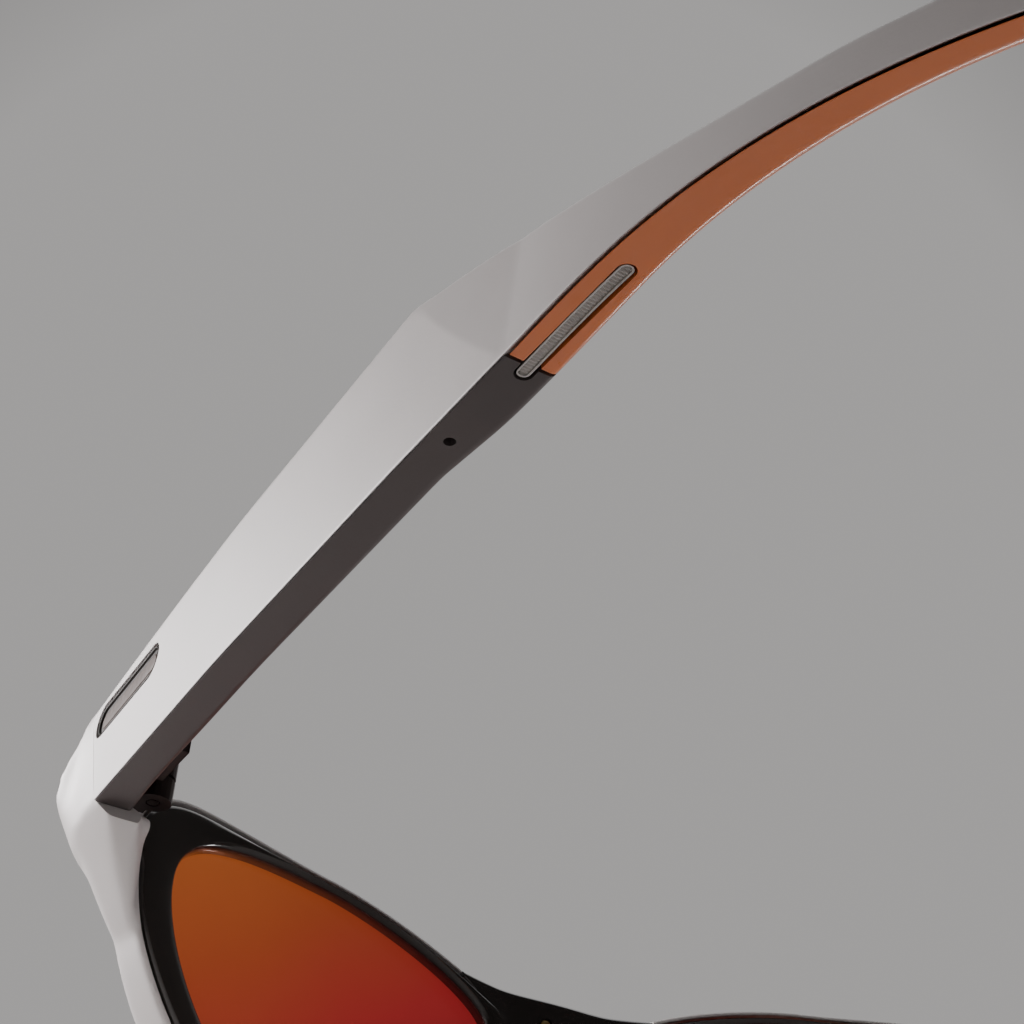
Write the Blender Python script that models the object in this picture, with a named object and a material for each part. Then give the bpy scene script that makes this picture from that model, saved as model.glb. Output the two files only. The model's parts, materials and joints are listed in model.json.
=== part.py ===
# Wraparound sport sunglasses with audio temples.
#
# Everything is laid out in the wearer's frame, in millimetres: X to the wearer's left, Y towards
# the ears and Z up, with the lower edges of the temples level and the temple seams at Y = 0. The
# finished glasses then lean back until the rims and the ear tips stand on Z = 0.

import math

import bmesh
import bpy
from mathutils import Matrix, Vector

MM = 0.001
GAP = 0.3                    # clearance between pieces that touch

# ---- front
SEAM_HALF_SPAN = 67.0        # centre plane to the temples' inner lower corners
LENS_OUTER_X = SEAM_HALF_SPAN - 8.5
LENS_NASAL_X = 10.5
LENS_WIDEST_Z = -2.0
LENS_TOP = (36.0, 7.3)
LENS_BOTTOM = (31.0, -26.5)
LENS_POWERS = {"outer top": 2.8, "nasal top": 1.65, "nasal bottom": 1.85, "outer bottom": 1.7}
LENS_THICKNESS = 1.8
LENS_SEAT = 0.3              # how far the lens reaches under the rims
BRIDGE_Y = -26.0             # back of the front at the centre plane
WRAP_POWER = 1.6
WRAP_DEPTH = 16.05           # outer lens edge, rearward of the bridge
WRAP_GAIN = WRAP_DEPTH / LENS_OUTER_X ** WRAP_POWER
WRAP_EASE = 4.0              # rounds the wrap at the centre plane
PANTO = 0.10                 # how much the front leans in towards the cheeks, per millimetre down
BROW_Z = 8.8
FRONT_DEPTH = 6.8            # front face to wearer's side
COVER_DEPTH = 2.2            # dark cover behind the lens
LIP_DEPTH = FRONT_DEPTH - COVER_DEPTH - LENS_THICKNESS - 2 * GAP
RIM_INSET = 0.3              # how far the rims overlap the visible lens edge
RIM_WALL = 0.6               # pale wall round the dark cover
RIM_FLARE = 0.5              # how much wider the rims are in front than behind
RIM_SIDE_WIDTH = 3.6         # extra rim width at the sides, which fades over the top and below
RIM_TOP_FADE = 0.95
RIM_LOW_FADE = 0.55
OUTER_CORNER = 1.6           # extra width towards the end pieces, as a share
BRIDGE_TOP = 4.2
BRIDGE_HEIGHT = 8.4
BRIDGE_HUMP = 1.2            # rearward swell of the dark cover over the nose
BROW_REACH = 15.0            # how far the bridge's top runs out over the lenses
RIM_STATIONS = 56

# ---- temples, along Y from the seam
TEMPLE_LENGTH = 140.0
TEMPLE_WALL = 1.0
SEAM_SLANT = 0.52            # the seam runs forward as it rises
KINK_Y = 61.5                # top corner where the slope to the ear starts
CREASE_Y = 75.3              # the same facet at the lower edge, where the ear section starts
FACET_LEAN = 0.09            # how much the outer face leans in behind the crease, per millimetre up
FACET_END = 106.0
TEMPLE_FRONT_HEIGHT = 13.8
TEMPLE_KINK_HEIGHT = 16.5
EAR_HEIGHT = 4.4
TIP_HEIGHT = 7.0
EAR_BEND_Y = 85.0
EAR_DROP_GAIN = 0.006
TURN_IN_Y = 78.0
TURN_IN_GAIN = 0.0042
TURN_IN_END = 114.0
POCKET_BULGE = 2.8           # extra thickness over the electronics, on the inner side
EAR_BULGE = 1.5
HINGE_LAND = 10.0            # flat inner wall behind the seam, for the hinge leaf

# ---- hinge
PIVOT_INBOARD = 2.2          # pivot to the temple's inner lower corner, along X
PIVOT_Y = -1.2
KNUCKLE_RADIUS = 1.9
HINGE_BOTTOM = 2.2
HINGE_HEIGHT = 8.0
MIDDLE_KNUCKLE = 2.6
LEAF_THICKNESS = 1.3
LEAF_OVERLAP = 9.0
PIN_RADIUS = 0.6
PIN_PLAY = 0.15
PIN_HEAD_RADIUS = 1.1
PIN_HEAD_HEIGHT = 0.8
LEAF_SCREW_RADIUS = 0.8

# ---- fittings
BADGE_LENGTH = 16.5
BADGE_HEIGHT = 3.4
BADGE_Y = 4.0
BADGE_RISE = 10.4
BADGE_DEPTH = 0.5
MIC_Y = 65.8
MIC_HOLE_RADIUS = 0.45
GRILLE_START = 74.1
GRILLE_LENGTH = 12.3
GRILLE_WIDTH = 1.0
GRILLE_THICKNESS = 0.6
BATTERY_START = 22.0
BATTERY_LENGTH = 26.0
BATTERY_THICKNESS = 4.3 - 2 * TEMPLE_WALL
BOARD_START = 13.0
BOARD_END = 62.0
BOARD_THICKNESS = 0.7
DRIVER_LENGTH = 9.0
BUTTON_Y = 21.0
BUTTON_LENGTH = 11.0
BUTTON_WIDTH = 2.2
BUTTON_PROUD = 0.5
SWITCH_Y = 27.0
SWITCH_LENGTH = 5.0
SWITCH_HEIGHT = 1.8
SWITCH_PROUD = 0.9
CONTACT_SPACING = 4.4
CONTACT_RADIUS = 0.9
CONTACT_THICKNESS = 0.7
CORE_THICKNESS = 0.6
CORE_START = 92.0
CORE_MARGIN = 6.0            # core to the tip
PAD_TOP_Z = -5.0
PAD_BOTTOM_Z = -21.0
PAD_THICKNESS = 4.2

SIDES = {"left": 1.0, "right": -1.0}


# ---- scene, materials and small makers

def clear_scene():
    for old in list(bpy.data.objects):
        bpy.data.objects.remove(old, do_unlink=True)
    for old in list(bpy.data.collections):
        bpy.data.collections.remove(old)


def new_collection(name):
    made = bpy.data.collections.new(name)
    bpy.context.scene.collection.children.link(made)
    return made


def principled(name, colour, roughness, metallic=0.0, alpha=1.0):
    made = bpy.data.materials.new(name)
    made.use_nodes = True
    shader = made.node_tree.nodes["Principled BSDF"]
    shader.inputs["Base Color"].default_value = (*colour, 1.0)
    shader.inputs["Roughness"].default_value = roughness
    shader.inputs["Metallic"].default_value = metallic
    shader.inputs["Alpha"].default_value = alpha
    return made


def make_materials():
    return {
        "shell": principled("warm_grey_shell", (0.62, 0.58, 0.56), 0.55),
        "underside": principled("dark_underside", (0.10, 0.09, 0.085), 0.5),
        "cover": principled("gloss_cover", (0.03, 0.025, 0.022), 0.12),
        "ear": principled("ear_section", (0.62, 0.20, 0.06), 0.3),
        "mirror": principled("mirror_lens", (0.75, 0.18, 0.05), 0.08, 0.6),
        "steel": principled("hinge_steel", (0.10, 0.09, 0.09), 0.35, 1.0),
        "mesh": principled("speaker_mesh", (0.5, 0.48, 0.46), 0.4, 1.0),
        "badge": principled("badge_bronze", (0.16, 0.09, 0.06), 0.3, 1.0),
        "rubber": principled("nose_rubber", (0.05, 0.05, 0.05), 0.8),
        "cell": principled("battery_foil", (0.6, 0.6, 0.6), 0.35, 0.8),
        "board": principled("circuit_board", (0.02, 0.12, 0.07), 0.5),
        "black": principled("black_plastic", (0.02, 0.02, 0.02), 0.5),
        "gold": principled("contact_gold", (0.8, 0.6, 0.3), 0.25, 1.0),
    }


def object_from_bmesh(name, shape, material, group):
    bmesh.ops.recalc_face_normals(shape, faces=shape.faces)
    mesh = bpy.data.meshes.new(name)
    shape.to_mesh(mesh)
    shape.free()
    mesh.shade_smooth()
    mesh.set_sharp_from_angle(angle=math.radians(35))
    made = bpy.data.objects.new(name, mesh)
    if material:
        made.data.materials.append(material)
    group.objects.link(made)
    return made


def loft(name, rings, material, group, closed=False):
    """A skin over rings of equal length, capped at both ends, or run round into a loop."""
    shape = bmesh.new()
    rows = [[shape.verts.new(Vector(p) * MM) for p in ring] for ring in rings]
    pairs = list(zip(rows, rows[1:] + rows[:1])) if closed else list(zip(rows, rows[1:]))
    count = len(rows[0])
    for lower, upper in pairs:
        for i in range(count):
            j = (i + 1) % count
            shape.faces.new((lower[i], lower[j], upper[j], upper[i]))
    if not closed:
        shape.faces.new(rows[0][::-1])
        shape.faces.new(rows[-1])
    return object_from_bmesh(name, shape, material, group)


def box(name, low, high, material, group):
    shape = bmesh.new()
    size = Vector(high) - Vector(low)
    middle = (Vector(high) + Vector(low)) / 2
    bmesh.ops.create_cube(shape, size=1.0)
    bmesh.ops.scale(shape, vec=size * MM, verts=shape.verts)
    bmesh.ops.translate(shape, vec=middle * MM, verts=shape.verts)
    return object_from_bmesh(name, shape, material, group)


def cylinder(name, base, direction, radius, length, material, group, sides=20):
    shape = bmesh.new()
    turn = Vector((0, 0, 1)).rotation_difference(Vector(direction)).to_matrix().to_4x4()
    place = Matrix.Translation(Vector(base) * MM) @ turn @ Matrix.Translation((0, 0, length * MM / 2))
    bmesh.ops.create_cone(shape, cap_ends=True, segments=sides, radius1=radius * MM,
                          radius2=radius * MM, depth=length * MM, matrix=place)
    return object_from_bmesh(name, shape, material, group)


def boolean(target, tool, operation):
    step = target.modifiers.new(tool.name, "BOOLEAN")
    step.operation = operation
    step.object = tool
    step.solver = "EXACT"
    tool.hide_render = True
    tool.display_type = "WIRE"


def between(stations, y):
    """Straight interpolation through (y, value) pairs."""
    for (y0, v0), (y1, v1) in zip(stations, stations[1:]):
        if y <= y1:
            return v0 + (v1 - v0) * (y - y0) / (y1 - y0)
    return stations[-1][1]


# ---- the front's surface and the lens outline

def wrap(x, z):
    """Y of the front's wearer side at (x, z)."""
    ease = WRAP_EASE ** 2
    across = (x * x + ease) ** (WRAP_POWER / 2) - ease ** (WRAP_POWER / 2)
    return BRIDGE_Y + WRAP_GAIN * across + PANTO * (BROW_Z - z)


def lens_outline(angle):
    """Point of the lens edge: quarter superellipses between its outer, top, nasal and lowest points."""
    c, s = math.cos(angle), math.sin(angle)
    middle, reach = LENS_TOP if s >= 0 else LENS_BOTTOM
    end = LENS_OUTER_X if c >= 0 else LENS_NASAL_X
    power = LENS_POWERS[("outer " if c >= 0 else "nasal ") + ("top" if s >= 0 else "bottom")]
    x = middle + (end - middle) * abs(c) ** (2 / power)
    z = LENS_WIDEST_Z + (reach - LENS_WIDEST_Z) * abs(s) ** (2 / power)
    return x, z


def outline_stations():
    """Edge points evenly spread along the outline, each with its outward normal."""
    fine = [lens_outline(2 * math.pi * i / 720) for i in range(720)]
    steps = [math.dist(fine[i], fine[(i + 1) % 720]) for i in range(720)]
    total = sum(steps)
    stations = []
    walked, i = 0.0, 0
    for k in range(RIM_STATIONS):
        goal = total * k / RIM_STATIONS
        while walked + steps[i] < goal:
            walked += steps[i]
            i += 1
        t = (goal - walked) / steps[i]
        ahead = fine[(i + 1) % 720]
        point = [fine[i][n] + (ahead[n] - fine[i][n]) * t for n in (0, 1)]
        before, after = fine[(i - 8) % 720], fine[(i + 9) % 720]
        length = math.dist(before, after)
        normal = ((after[1] - before[1]) / length, (before[0] - after[0]) / length)
        stations.append((point, normal))
    return stations


OUTLINE = outline_stations()


def rim_share(normal):
    """Share of the extra rim width: least over the lens, most in its upper outer corner."""
    across, up = normal
    if up <= 0:
        return 1.0 - RIM_LOW_FADE * up * up
    return 1.0 - RIM_TOP_FADE * up * up + OUTER_CORNER * max(0.0, across) * up


def rim_point(station, out, depth, side):
    (x, z), (nx, nz) = station
    px, pz = x + out * nx, z + out * nz
    return side * px, wrap(px, pz) + depth, pz


def rim_ring(name, profile, side, material, group):
    """A rim: a profile carried round the lens outline.

    Its points are (outward, share of the extra side width, depth).
    """
    rings = []
    for station in OUTLINE:
        extra = RIM_SIDE_WIDTH * rim_share(station[1])
        rings.append([rim_point(station, out + extra * part, depth, side) for out, part, depth in profile])
    return loft(name, rings, material, group, closed=True)


# ---- temple sections

def outer_x(y):
    """Outer face of the temple, from the centre plane."""
    rel = between([(0, 4.1), (30, 4.5), (60, 4.2), (TURN_IN_Y, 3.8), (500, 3.8)], y)
    if y > TURN_IN_Y:
        reach = min(y, TURN_IN_END) - TURN_IN_Y
        rel -= TURN_IN_GAIN * reach ** 2
        if y > TURN_IN_END:
            rel -= 2 * TURN_IN_GAIN * reach * (y - TURN_IN_END)
    return SEAM_HALF_SPAN + rel


def bottom_z(y):
    return -EAR_DROP_GAIN * max(0.0, y - EAR_BEND_Y) ** 2


def height(y):
    end = TEMPLE_LENGTH
    return between([(0, TEMPLE_FRONT_HEIGHT), (14, TEMPLE_KINK_HEIGHT - 1.2), (30, TEMPLE_KINK_HEIGHT - 0.7),
                    (KINK_Y, TEMPLE_KINK_HEIGHT), (70, TEMPLE_KINK_HEIGHT - 1.8),
                    (CREASE_Y, TEMPLE_KINK_HEIGHT - 3.4), (82, 9.6), (90, 6.2), (98, EAR_HEIGHT),
                    (112, EAR_HEIGHT), (end - 16, TIP_HEIGHT - 0.7), (end - 7, TIP_HEIGHT),
                    (end, TIP_HEIGHT - 0.5)], y)


def foot_width(y):
    """Width of the temple's flat underside."""
    return between([(0, 4.0), (8, 3.7), (62, 3.5), (70, 4.1), (82, 4.0), (92, 3.3),
                    (104, 2.6), (114, 2.2), (500, 2.2)], y)


def bulge(y):
    """How far the inner wall stands past the underside, half-way up."""
    return between([(0, 0.0), (HINGE_LAND, 0.0), (HINGE_LAND + 8, POCKET_BULGE),
                    (66, POCKET_BULGE), (90, EAR_BULGE), (500, EAR_BULGE)], y)


def temple_point(side, y, inward, up):
    """A point of the section at y, given inward from the outer face and up from the underside."""
    slant = SEAM_SLANT * up * max(0.0, 1 - y / 14)
    return side * (outer_x(y) - inward), y - slant, bottom_z(y) + up


def inner_top(y):
    return foot_width(y) + bulge(y) - 0.4


def facet(y, up):
    """How far the outer face has leaned in at this height, behind the slanting crease."""
    crease = height(y) * (CREASE_Y - y) / (CREASE_Y - KINK_Y)
    fade = min(1.0, max(0.0, (FACET_END - y) / (FACET_END - CREASE_Y)))
    return FACET_LEAN * fade * max(0.0, min(up, up - crease))


def outer_section(y):
    """Outer wall and top of the temple, mitred at the lower edge."""
    h, w = height(y), TEMPLE_WALL
    lid = inner_top(y)
    crease = min(max(h * (CREASE_Y - y) / (CREASE_Y - KINK_Y), 0.5), h - 1.5)
    return [(0, 0), (facet(y, crease), crease), (facet(y, h - 0.9), h - 0.9), (facet(y, h) + 0.7, h),
            (lid - 0.4, h), (lid, h - 0.4), (lid, h - w), (w + facet(y, h - w), h - w), (w, w)]


def inner_section(y):
    """Underside and inner wall of the temple, inside the mitre."""
    h, w = height(y), TEMPLE_WALL
    foot, swell = foot_width(y), bulge(y)
    miter = 1.4 * GAP
    top = h - w - GAP
    mid = min(0.45 * h, top - 0.5)
    return [(miter, 0), (foot, 0), (foot + swell, mid), (inner_top(y), top),
            (inner_top(y) - w, top), (foot + swell - w, mid + 0.2), (foot - 0.4 * w, w), (w + miter, w)]


def temple_loft(name, section, stations, side, material, group):
    rings = [[temple_point(side, y, inward, up) for inward, up in section(y)] for y in stations]
    return loft(name, rings, material, group)


SHELL_STATIONS = [0.0, 3.5, 7.0, 10.0, 14.0, 18.0, 30.0, 45.0, 55.0, 61.5, 66.0, 70.0, 75.3, 82.0,
                  90.0, 96.0, 102.0, 108.0, 114.0, 120.0, 126.0, 132.0, 138.0]


def stations_between(low, high):
    inside = [y for y in SHELL_STATIONS if low + 0.5 < y < high - 0.5]
    return [low] + inside + [high]


def pocket(name, side, y0, y1, in0, in1, up0, up1, material, group, steps=4):
    """A block that follows the temple: inward from in0 to in1 and up from up0 to up1."""
    rings = []
    for k in range(steps + 1):
        y = y0 + (y1 - y0) * k / steps
        corners = [(in0, up0), (in1, up0), (in1, up1), (in0, up1)]
        rings.append([temple_point(side, y, inward, up) for inward, up in corners])
    return loft(name, rings, material, group)


def stadium(name, side, centre, length, width, low, high, across, material, group):
    """A slot shape along Y: across "up" stands on the outer face, across "in" on the underside."""
    rings = []
    arc = 8
    for level in (low, high):
        ring = []
        for k in range(2 * arc + 2):
            end = 1 if k <= arc else -1
            turn = math.pi * ((k if k <= arc else k - 1) / arc - 0.5)
            along = centre[0] + end * (length - width) / 2 + width / 2 * math.cos(turn)
            offset = centre[1] + width / 2 * math.sin(turn)
            if across == "up":
                ring.append((side * (outer_x(along) - level), along, offset))
            else:
                ring.append((side * (outer_x(along) - offset), along, bottom_z(along) + level))
        rings.append(ring)
    return loft(name, rings, material, group)


# ---- front pieces

def make_front(materials, group, tools):
    """The pale front: two wrapped rims, the bridge and both end pieces, as one moulding."""
    lip = FRONT_DEPTH - LIP_DEPTH
    seat = LENS_SEAT + GAP
    floor = -COVER_DEPTH - GAP
    wall = seat + GAP
    edge = wall + RIM_WALL
    profile = [(-RIM_INSET, 0, -FRONT_DEPTH + 0.8), (0.6, 0, -FRONT_DEPTH),
               (edge + RIM_FLARE - 0.7, 1, -FRONT_DEPTH), (edge + RIM_FLARE, 1, -FRONT_DEPTH + 0.9),
               (edge, 1, -1.0), (edge - 0.2, 1, -0.4), (seat, 0, -0.4), (seat, 0, -lip), (-RIM_INSET, 0, -lip)]
    recess = [(-RIM_INSET - 1.0, 0, floor), (wall, 1, floor), (wall, 1, 4.0), (-RIM_INSET - 1.0, 0, 4.0)]
    front = rim_ring("front_frame", profile, 1.0, materials["shell"], group)
    boolean(front, rim_ring("front_rim_right", profile, -1.0, None, tools), "UNION")
    boolean(front, make_bridge("front_bridge", -FRONT_DEPTH + 0.4, floor + 0.25, tools), "UNION")
    for name, side in SIDES.items():
        boolean(front, make_end_piece("end_piece_" + name, side, tools), "UNION")
        boolean(front, make_shelf("shelf_" + name, side, tools), "UNION")
    boolean(front, make_bridge("bridge_recess", floor - 0.2, 3.0, tools, inset=0.2), "DIFFERENCE")
    for name, side in SIDES.items():
        boolean(front, rim_ring("cover_recess_" + name, recess, side, None, tools), "DIFFERENCE")
    return front


def lens_top(x):
    """Height of the lens edge over x, on its nasal side."""
    middle, reach = LENS_TOP
    power = LENS_POWERS["nasal top"]
    share = min(1.0, max(0.0, (middle - x) / (middle - LENS_NASAL_X)))
    return LENS_WIDEST_Z + (reach - LENS_WIDEST_Z) * (1 - share ** power) ** (1 / power)


def make_bridge(name, front_depth, back_depth, group, hump=0.0, inset=0.0):
    """The block between the rims, arched for the nose, with a brow that runs out over the lenses."""
    inner = LENS_NASAL_X - LENS_SEAT - GAP - 0.3 - inset
    reach = BROW_REACH - inset
    half = [0.0, 0.2 * inner, 0.4 * inner, 0.6 * inner, 0.8 * inner, inner, inner + 0.3,
            inner + 0.3 * (reach - inner), inner + 0.65 * (reach - inner), reach]
    rings = []
    for x in [-x for x in half[:0:-1]] + half:
        share = min(1.0, abs(x) / inner) ** 2
        top = BRIDGE_TOP + 0.9 * (x / BROW_REACH) ** 2 - inset
        low = BRIDGE_TOP - BRIDGE_HEIGHT - 1.4 * share + inset
        if abs(x) > inner:
            low = lens_top(abs(x)) + LENS_SEAT + GAP + 0.4 + inset
        back = back_depth + hump * (1 - share) ** 2
        edge = min(0.8, 0.3 * (top - low))
        corners = [(front_depth + edge, low), (front_depth, low + edge), (front_depth, top - edge),
                   (front_depth + edge, top), (back - 0.4, top), (back, top - 0.4),
                   (back, low + 0.4), (back - 0.4, low)]
        rings.append([(x, wrap(x, z) + depth, z) for depth, z in corners])
    return loft(name, rings, None, group)


def smooth(values, steps):
    """Catmull-Rom through a list of numbers, with this many steps between neighbours."""
    ends = [2 * values[0] - values[1]] + list(values) + [2 * values[-1] - values[-2]]
    made = []
    for i in range(len(values) - 1):
        a, b, c, d = ends[i:i + 4]
        for k in range(steps):
            t = k / steps
            made.append(0.5 * (2 * b + (c - a) * t + (2 * a - 5 * b + 4 * c - d) * t * t
                               + (3 * b - a - 3 * c + d) * t ** 3))
    return made + [values[-1]]


def make_end_piece(name, side, group):
    """The wrapped corner from the rim to the slanted temple seam, tucked in below.

    Each row: outer edge x above and below, outer y, inner x and y, underside, top, share of the slant.
    """
    start = outer_x(0) - SEAM_HALF_SPAN
    rows = [(start, start, -GAP, start - foot_width(0) + 0.2, -GAP, 0.0, TEMPLE_FRONT_HEIGHT, 1.0),
            (4.6, 4.1, -3.2, 0.3, -3.0, -0.1, 12.9, 0.72),
            (5.0, 3.9, -5.6, 0.2, -5.0, -0.4, 11.3, 0.5),
            (5.8, 3.4, -7.8, 0.0, -6.6, -0.8, 9.3, 0.3),
            (6.2, 2.4, -9.8, -0.8, -8.0, -1.4, 7.2, 0.12),
            (5.8, 0.9, -11.6, -2.2, -9.2, -2.1, 5.6, 0.0),
            (3.0, -1.6, -13.2, -4.0, -10.2, -3.2, 5.0, 0.0),
            (-1.8, -5.2, -14.4, -5.8, -10.9, -4.6, 5.2, 0.0)]
    columns = [smooth(column, 3) for column in zip(*rows)]
    rings = []
    for upper, lower, oy, ix, iy, low, top, share in zip(*columns):
        ring = []
        for t, z in ((0, low + 0.9), (0, (low + top) / 2), (0, top - 1.3), (0.06, top - 0.4), (0.2, top),
                     (0.9, top), (1, top - 0.4), (1, low + 0.4), (0.9, low), (0.2, low), (0.05, low + 0.3)):
            ox = lower + (upper - lower) * (z - low) / (top - low)
            x = SEAM_HALF_SPAN + ox + (ix - ox) * t
            ring.append((side * x, oy + (iy - oy) * t - SEAM_SLANT * share * z, z))
        rings.append(ring)
    return loft(name, rings, None, group)


def make_shelf(name, side, group):
    """Plate under the hinge that runs from the end piece in behind the lens's outer corner."""
    plan = [(0.6, -0.9), (-0.6, -1.0), (-3.4, -1.7), (-5.1, -2.4), (-4.5, -3.3), (-2.6, -5.2), (-0.4, -8.0),
            (1.5, -5.0)]
    middle = (-1.0, -3.6)
    rings = []
    for level, inset in ((-0.9, 0.4), (-0.5, 0.0), (0.7, 0.0)):
        ring = []
        for x, y in plan:
            reach = math.dist((x, y), middle)
            share = (reach - inset) / reach
            inward = middle[0] + (x - middle[0]) * share
            ring.append((side * (SEAM_HALF_SPAN + inward), middle[1] + (y - middle[1]) * share, level))
        rings.append(ring)
    return loft(name, rings, None, group)


def make_rear_cover(materials, group, tools):
    """The dark cover on the wearer's side: a ring behind each lens, joined over the nose."""
    edge = LENS_SEAT + GAP
    profile = [(-RIM_INSET, 0, -COVER_DEPTH), (edge - 0.6, 1, -COVER_DEPTH), (edge, 1, -1.6),
               (edge, 1, -0.7), (edge - 0.3, 0.95, -0.2), (edge - 0.2, 0.6, 0.0), (0.4, 0.15, -0.1),
               (-0.1, 0, -0.5), (-RIM_INSET, 0, -1.1)]
    cover = rim_ring("rear_cover", profile, 1.0, materials["cover"], group)
    boolean(cover, rim_ring("rear_ring_right", profile, -1.0, None, tools), "UNION")
    bridge = make_bridge("rear_bridge", -COVER_DEPTH + 0.1, -0.25, tools, hump=BRIDGE_HUMP, inset=0.5)
    boolean(cover, bridge, "UNION")
    for k, x in enumerate((-CONTACT_SPACING / 2, CONTACT_SPACING / 2)):
        base, _ = contact_seat(x)
        hole = cylinder("contact_well_%d" % (k + 1), base, (0, 1, 0), CONTACT_RADIUS + GAP,
                        CONTACT_THICKNESS + 2.0, None, tools, 16)
        boolean(cover, hole, "DIFFERENCE")
    return cover


def contact_seat(x):
    """Bottom of a contact's well on the bridge, and the cover's surface there."""
    inner = LENS_NASAL_X - LENS_SEAT - GAP - 0.8
    surface = wrap(x, 0.0) - 0.25 + BRIDGE_HUMP * (1 - (x / inner) ** 2) ** 2
    return (x, surface - CONTACT_THICKNESS - GAP, 0.0), surface


def make_contacts(materials, group):
    for k, x in enumerate((-CONTACT_SPACING / 2, CONTACT_SPACING / 2)):
        (bx, by, bz), _ = contact_seat(x)
        cylinder("charge_contact_%d" % (k + 1), (bx, by + GAP, bz), (0, 1, 0), CONTACT_RADIUS,
                 CONTACT_THICKNESS, materials["gold"], group, 16)


def make_lens(name, side, materials, group):
    """A curved disc that follows the wrap, from rings shrunk towards the lens centre."""
    shape = bmesh.new()
    back = -COVER_DEPTH - GAP
    centre = (LENS_TOP[0], LENS_WIDEST_Z - 7.0)
    levels = [1.0, 0.8, 0.6, 0.4, 0.2]
    faces = {}
    for depth in (back, back - LENS_THICKNESS):
        rings = []
        for share in levels:
            ring = []
            for (x, z), (nx, nz) in OUTLINE:
                ex, ez = x + LENS_SEAT * nx, z + LENS_SEAT * nz
                px, pz = centre[0] + (ex - centre[0]) * share, centre[1] + (ez - centre[1]) * share
                ring.append(shape.verts.new(Vector((side * px, wrap(px, pz) + depth, pz)) * MM))
            rings.append(ring)
        hub = shape.verts.new(Vector((side * centre[0], wrap(*centre) + depth, centre[1])) * MM)
        for a, b in zip(rings, rings[1:]):
            for i in range(RIM_STATIONS):
                j = (i + 1) % RIM_STATIONS
                shape.faces.new((a[i], a[j], b[j], b[i]))
        for i in range(RIM_STATIONS):
            shape.faces.new((rings[-1][i], rings[-1][(i + 1) % RIM_STATIONS], hub))
        faces[depth] = rings[0]
    a, b = faces.values()
    for i in range(RIM_STATIONS):
        j = (i + 1) % RIM_STATIONS
        shape.faces.new((a[i], a[j], b[j], b[i]))
    return object_from_bmesh(name, shape, materials["mirror"], group)


def make_nose_pad(name, side, materials, group):
    """A soft pad along the nasal side of the rear ring, thickest half-way down."""
    along = [s for s in OUTLINE if s[0][0] < 0.6 * LENS_BOTTOM[0] and PAD_BOTTOM_Z < s[0][1] < PAD_TOP_Z]
    rings = []
    for k, station in enumerate(along):
        rise = math.sin(math.pi * k / (len(along) - 1)) ** 0.7
        profile = [(0.9, GAP), (4.3, GAP), (5.1, 0.7 + 0.3 * PAD_THICKNESS * rise),
                   (4.2, 0.8 + 0.85 * PAD_THICKNESS * rise), (2.8, 0.8 + PAD_THICKNESS * rise),
                   (1.3, 0.7 + 0.6 * PAD_THICKNESS * rise)]
        rings.append([rim_point(station, out, depth, side) for out, depth in profile])
    return loft(name, rings, materials["rubber"], group)


# ---- hinge pieces, built about the pivot at the origin of their empty

def pivot_point(side):
    return Vector((side * (SEAM_HALF_SPAN - PIVOT_INBOARD), PIVOT_Y, 0.0))


def hinge_levels():
    play = GAP
    low, high = HINGE_BOTTOM, HINGE_BOTTOM + HINGE_HEIGHT
    middle = (low + high) / 2
    return low, middle - MIDDLE_KNUCKLE / 2 - play, middle - MIDDLE_KNUCKLE / 2, middle + MIDDLE_KNUCKLE / 2, \
        middle + MIDDLE_KNUCKLE / 2 + play, high


def make_hinge_frame(name, side, materials, group, tools):
    """Leaf on the end piece, with the upper and lower knuckles."""
    px, py, _ = pivot_point(side)
    low, a, _, _, b, high = hinge_levels()
    face = side * (SEAM_HALF_SPAN - 0.35)
    back = face - side * LEAF_THICKNESS
    leaf = box(name, (min(face, back), -7.4, low), (max(face, back), -3.6, high), materials["steel"], group)
    for k, (z0, z1) in enumerate(((low, a), (b, high))):
        web = box(name + "_web%d" % k, (min(face, px), -3.9, z0), (max(face, px), py - 0.3, z1), None, tools)
        boolean(leaf, web, "UNION")
        knuckle = cylinder(name + "_knuckle%d" % k, (px, py, z0), (0, 0, 1), KNUCKLE_RADIUS, z1 - z0, None, tools)
        boolean(leaf, knuckle, "UNION")
    bore = cylinder(name + "_bore", (px, py, low - 1), (0, 0, 1), PIN_RADIUS + PIN_PLAY, HINGE_HEIGHT + 2,
                    None, tools, 16)
    boolean(leaf, bore, "DIFFERENCE")
    hole = cylinder(name + "_hole", (face + side, -5.6, (low + high) / 2), (-side, 0, 0),
                    LEAF_SCREW_RADIUS + PIN_PLAY, 4.0, None, tools, 16)
    boolean(leaf, hole, "DIFFERENCE")
    return leaf


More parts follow.
